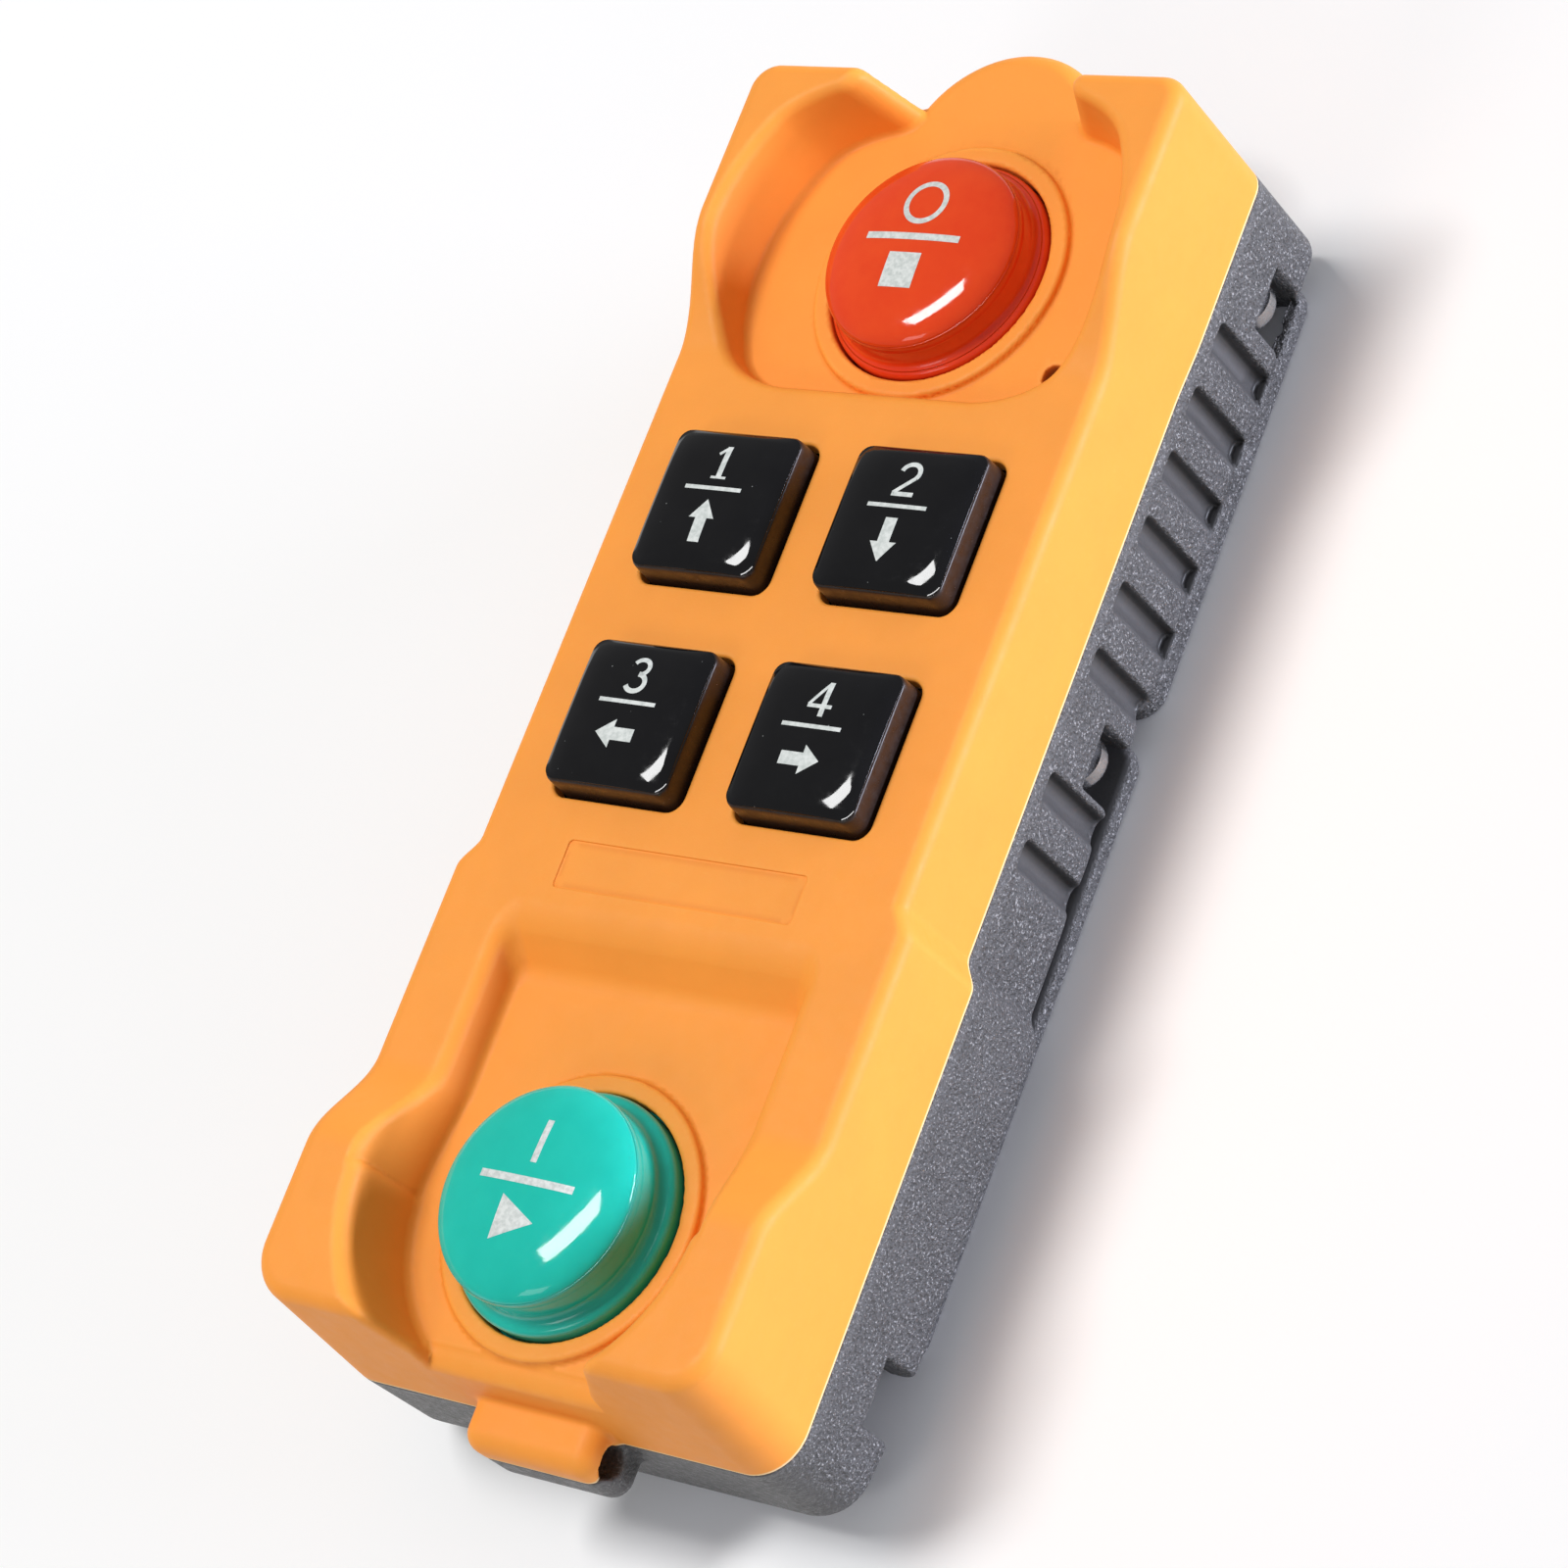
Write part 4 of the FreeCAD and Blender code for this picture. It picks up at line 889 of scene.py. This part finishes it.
def grey_finish():
    """Dark grey spark-textured plastic with painted glints and painted shade in its pits and
    creases; smoother where plain is one, and darker there, partly as painted shade.
    """
    made = Finish("grey_textured_plastic", 0.5, Specular_IOR_Level=0.6)
    plain = made.attribute("plain")
    coarse = made.maths("SUBTRACT", 1.0, plain)
    grain = made.remap(made.noise(0.44, 2.5, 0.6), 0.36, 0.64)
    patches = made.remap(made.noise(6.0, 4.0), 0.3, 0.7)
    base = made.blend(patches, tint(GREY, 0.9), tint(GREY, 1.12))
    # Painted highlight: small bright specks of specular glint are drawn into the colour on the textured
    # parts.
    painted_glint = made.maths("MULTIPLY", made.remap(made.noise(0.30, 1.5, 0.7), 0.58, 0.66), coarse)
    base = made.blend(made.maths("MULTIPLY", painted_glint, 0.7), base, (0.46, 0.455, 0.455))
    # Painted shade: the low spots of the grain's relief are drawn darker.
    painted_pit_shade = made.maths("MULTIPLY", made.remap(grain, 0.42, 0.12), coarse)
    base = made.blend(made.maths("MULTIPLY", painted_pit_shade, 0.6), base, tint(GREY, 0.3))
    # Smooth parts are drawn darker: partly the smoother finish, partly painted shade on the groove floors
    # and the foot.
    base = made.blend(made.maths("MULTIPLY", plain, 0.3), base, tint(GREY, 0.6))
    # Painted shade: creases, where bend is below zero, are drawn much darker.
    painted_crease_shade = made.remap(made.attribute("bend"), -0.3, -1.6, 0.0, 0.75)
    base = made.blend(painted_crease_shade, base, tint(GREY, 0.25))
    worn = made.remap(made.attribute("bend"), 0.5, 2.2, 0.0, 0.22)
    made.colour(made.blend(worn, base, (0.20, 0.198, 0.20)))
    made.rough(made.remap(made.noise(0.6, 3.0), 0.3, 0.7, 0.36, 0.62))
    made.bump(made.maths("MULTIPLY", grain, coarse), 0.16)
    made.bump(made.noise(0.25, 2.0), 0.012)
    return made


def gloss_cap(name, colour, deep, pale, shine):
    """The two finishes of a round button: its coloured cap and its glossier lens."""
    made = Finish(name, 0.16, Subsurface_Weight=0.12, Subsurface_Scale=0.0025)
    made.colour(made.blend(made.remap(made.noise(5.0, 4.0), 0.3, 0.7), deep, colour))
    made.rough(made.remap(made.noise(1.1, 5.0), 0.35, 0.75, 0.12, 0.26))
    made.bump(made.noise(3.0, 2.0), 0.02)
    lens = Finish(name + "_lens", 0.06, Subsurface_Weight=0.15, Subsurface_Scale=0.002,
                  Specular_IOR_Level=shine)
    lens.colour(lens.blend(lens.remap(lens.noise(4.0, 3.0), 0.3, 0.7), colour, pale))
    lens.rough(lens.remap(lens.noise(0.8, 6.0), 0.4, 0.8, 0.04, 0.14))
    lens.bump(lens.noise(4.0, 1.0), 0.012)
    return made, lens


def pillow_finish():
    """The glossy black lens of a key, with a few specks of dust."""
    made = Finish("black_domed_lens", 0.05, Specular_IOR_Level=0.36)
    dust = made.remap(made.cells(1.5), 0.045, 0.03)
    dust = made.maths("MULTIPLY", dust, made.remap(made.noise(3.1), 0.5, 0.6))
    base = made.blend(made.noise(3.0, 4.0), (0.002, 0.002, 0.003), (0.006, 0.006, 0.007))
    made.colour(made.blend(dust, base, (0.35, 0.36, 0.36)))
    made.rough(made.remap(made.noise(0.9, 6.0), 0.4, 0.8, 0.03, 0.14))
    made.bump(made.noise(5.0, 1.0), 0.02)
    return made


def skirt_finish():
    """The satin black body of a key, with small pale nicks."""
    made = Finish("black_key_body", 0.33)
    base = made.blend(made.noise(1.2, 5.0), (0.013, 0.009, 0.008), (0.030, 0.018, 0.014))
    nicks = made.remap(made.noise(0.35, 2.0), 0.70, 0.76)
    made.colour(made.blend(made.maths("MULTIPLY", nicks, 0.5), base, (0.20, 0.17, 0.15)))
    made.rough(made.remap(made.noise(0.8, 5.0), 0.3, 0.7, 0.24, 0.46))
    made.bump(made.noise(0.3, 3.0), 0.012)
    return made


def ink_finish():
    """Pale printing ink, a little thin in places."""
    made = Finish("printed_ink", 0.3)
    thin = made.remap(made.noise(0.5, 5.0), 0.38, 0.62)
    made.colour(made.blend(thin, (0.56, 0.60, 0.58), (0.74, 0.77, 0.75)))
    made.rough(made.remap(made.noise(0.8, 3.0), 0.3, 0.7, 0.22, 0.4))
    made.bump(made.noise(0.4, 2.0), 0.004)
    return made


def simple(name, low, high, size, rough_low, rough_high, depth, metallic=0.0, stretch=None,
           **sockets):
    """A finish whose tone, gloss and relief all follow one grain."""
    made = Finish(name, rough_low, Metallic=metallic, **sockets)
    place = made.stretched(stretch) if stretch else None
    grain = made.noise(size, 5.0, 0.6, place)
    broad = made.noise(size * 9, 3.0)
    toned = made.blend(made.remap(broad, 0.3, 0.7), low, high)
    made.colour(made.blend(made.remap(grain, 0.2, 0.8, 0.0, 0.35), toned, tint(low, 0.7)))
    made.rough(made.remap(grain, 0.3, 0.7, rough_low, rough_high))
    made.bump(grain, depth)
    return made


def board_finish():
    """Solder mask with copper runs under it and plated spots."""
    made = Finish("circuit_board", 0.3, Coat_Weight=0.4, Coat_Roughness=0.1)
    runs = made.node("ShaderNodeTexBrick", offset=0.5)
    made.feed(runs.inputs["Vector"], made.place)
    runs.inputs["Scale"].default_value = 1000 / 6.0
    runs.inputs["Mortar Size"].default_value = 0.05
    green = made.blend(made.noise(2.0, 4.0), (0.012, 0.13, 0.05), (0.02, 0.19, 0.075))
    green = made.blend(made.maths("MULTIPLY", runs.outputs["Fac"], 0.6), green, (0.05, 0.30, 0.12))
    pads = made.remap(made.cells(3.4, 0.35), 0.11, 0.09)
    made.colour(made.blend(pads, green, (0.62, 0.55, 0.38)))
    made.rough(made.remap(pads, 0.0, 1.0, 0.32, 0.2))
    made.bump(runs.outputs["Fac"], 0.03)
    made.bump(made.noise(0.6, 3.0), 0.008)
    return made


def cell_finish():
    """A plain printed sleeve: dark blue with one pale band and light scuffs."""
    made = Finish("cell_sleeve", 0.3, Coat_Weight=0.5, Coat_Roughness=0.08)
    parted = made.node("ShaderNodeSeparateXYZ")
    made.feed(parted.inputs[0], made.place)
    band = made.maths("MULTIPLY", made.remap(parted.outputs["Y"], -0.008, -0.0078),
                      made.remap(parted.outputs["Y"], -0.0032, -0.0034))
    sleeve = made.blend(made.noise(4.0, 4.0), (0.012, 0.03, 0.10), (0.02, 0.045, 0.14))
    sleeve = made.blend(band, sleeve, (0.55, 0.56, 0.58))
    scuff = made.remap(made.noise(0.7, 6.0, 0.7, made.stretched((1, 0.2, 1))), 0.62, 0.72, 0, 0.4)
    made.colour(made.blend(scuff, sleeve, (0.35, 0.36, 0.38)))
    made.rough(made.remap(made.noise(1.0, 4.0), 0.3, 0.7, 0.22, 0.42))
    made.bump(made.noise(1.5, 3.0), 0.01)
    return made


orange, grey = orange_finish(), grey_finish()
orange.give(front)
grey.give(back, door)
red, red_lens = gloss_cap("red_plastic", (0.80, 0.055, 0.008), (0.70, 0.035, 0.006),
                          (0.84, 0.070, 0.010), 0.4)
teal, teal_lens = gloss_cap("teal_plastic", (0.012, 0.50, 0.40), (0.010, 0.42, 0.33),
                            (0.016, 0.54, 0.43), 0.3)
for finish, piece in ((red, stop_cap), (red_lens, stop_lens), (teal, start_cap), (teal_lens, start_lens)):
    finish.give(piece)
pillow_black, skirt_black = pillow_finish(), skirt_finish()
for cap, lens in key_parts.values():
    skirt_black.give(cap)
    pillow_black.give(lens)
ink_finish().give(*marks)

finishes = {
    "rubber": simple("rubber", (0.02, 0.02, 0.022), (0.035, 0.035, 0.038), 0.5, 0.6, 0.8, 0.02),
    "boot_rubber": simple("clear_rubber", (0.45, 0.45, 0.42), (0.58, 0.58, 0.54), 0.8, 0.35, 0.5,
                          0.01, Subsurface_Weight=0.4, Subsurface_Scale=0.002),
    "steel": simple("nickel_plated_steel", (0.62, 0.62, 0.63), (0.78, 0.78, 0.79), 0.35, 0.16, 0.34,
                    0.008, 1.0),
    "spring_steel": simple("spring_steel", (0.42, 0.43, 0.45), (0.58, 0.59, 0.61), 0.3, 0.2, 0.38,
                           0.006, 1.0, (1, 1, 4)),
    "board": board_finish(),
    "chip": simple("moulded_epoxy", (0.018, 0.018, 0.02), (0.035, 0.035, 0.038), 0.3, 0.42, 0.62,
                   0.012),
    "copper": simple("enamelled_copper", (0.62, 0.27, 0.12), (0.78, 0.38, 0.18), 0.4, 0.18, 0.3,
                     0.006, 1.0, Coat_Weight=0.6),
    "lamp": simple("tinted_epoxy", (0.5, 0.02, 0.012), (0.62, 0.035, 0.02), 0.8, 0.08, 0.18, 0.004,
                   Transmission_Weight=0.35),
    "clear": simple("clear_acrylic", (0.72, 0.74, 0.74), (0.84, 0.85, 0.85), 1.0, 0.04, 0.12, 0.004,
                    Transmission_Weight=0.8, IOR=1.49),
    "cell": cell_finish(),
    "wire": simple("wire_sleeve", (0.38, 0.012, 0.01), (0.50, 0.022, 0.018), 0.5, 0.35, 0.5, 0.01),
    "foam": simple("cell_foam", (0.025, 0.025, 0.027), (0.05, 0.05, 0.053), 0.45, 0.8, 0.95, 0.15),
    "key_black": skirt_black, "case_grey": grey, "case_orange": orange,
    "stop_red": red, "start_teal": teal,
}
for subpart in frame["record"]["subparts"]:
    node = frame["nodes"][subpart["node"]]
    if not node.hide_render:
        finishes[subpart["material_slot"]].give(node)

# ---------------------------------------------------------------- stage, lights and camera

FLOOR_HALF, FLOOR_DROP = 3.0, 0.0001


def card_floor():
    """A wide plain white card just under the resting plane."""
    mesh = bpy.data.meshes.new("floor")
    corners = [(across * FLOOR_HALF, along * FLOOR_HALF, -FLOOR_DROP)
               for across, along in ((-1, -1), (1, -1), (1, 1), (-1, 1))]
    mesh.from_pydata(corners, [], [(0, 1, 2, 3)])
    floor = bpy.data.objects.new("floor", mesh)
    bpy.context.scene.collection.objects.link(floor)
    card = Finish("white_card", 0.85)
    card.colour(card.blend(card.noise(60.0, 2.0), (0.93, 0.93, 0.93), (0.95, 0.95, 0.95)))
    card.give(floor)


def softbox(name, place, aim, width, height, power, spin=0.0, colour=(1, 1, 1)):
    """A rectangular studio light aimed at a point; places in metres, power in watts."""
    light = bpy.data.lights.new(name, "AREA")
    light.shape, light.size, light.size_y = "RECTANGLE", width, height
    light.energy, light.color = power, colour
    lamp = bpy.data.objects.new(name, light)
    bpy.context.scene.collection.objects.link(lamp)
    lamp.location = place
    facing = (Vector(aim) - Vector(place)).to_track_quat("-Z", "Y").to_matrix()
    lamp.rotation_euler = (facing @ Matrix.Rotation(spin, 3, "Z")).to_euler()


def viewpoint(place, turn, lens):
    """The camera: its place in metres and its turn as an axis as long as its angle in radians."""
    turn = Vector(turn)
    rows = Matrix.Rotation(turn.length, 3, turn.normalized())
    axes = Matrix((rows[0], -rows[1], -rows[2])).transposed()
    data = bpy.data.cameras.new("camera")
    data.lens, data.sensor_width = lens, 36.0
    data.clip_start, data.clip_end = 0.01, 20
    camera = bpy.data.objects.new("camera", data)
    bpy.context.scene.collection.objects.link(camera)
    camera.matrix_world = Matrix.Translation(place) @ axes.to_4x4()
    bpy.context.scene.camera = camera


card_floor()
softbox("overhead", (-0.40, 0.037, 1.41), (0, 0, 0), 0.26, 0.62, 14.3, math.radians(52))
softbox("right_side", (1.2, 0.5, 0.08), (0, 0, 0.015), 0.9, 0.14, 21, colour=(0.96, 1.0, 1.22))
softbox("foot_fill", (-0.2, -0.9, 0.8), (0, -0.07, 0.02), 0.4, 0.3, 1.2)
world = bpy.data.worlds.new("studio")
world.use_nodes = True
background = world.node_tree.nodes["Background"]
background.inputs["Color"].default_value = (1, 1, 1, 1)
background.inputs["Strength"].default_value = 0.30
bpy.context.scene.world = world
bpy.context.scene.view_settings.view_transform = "Standard"

viewpoint((0.2806, -0.14018, 0.36672), (2.5922, 0.3479, -0.8353), 112.18)
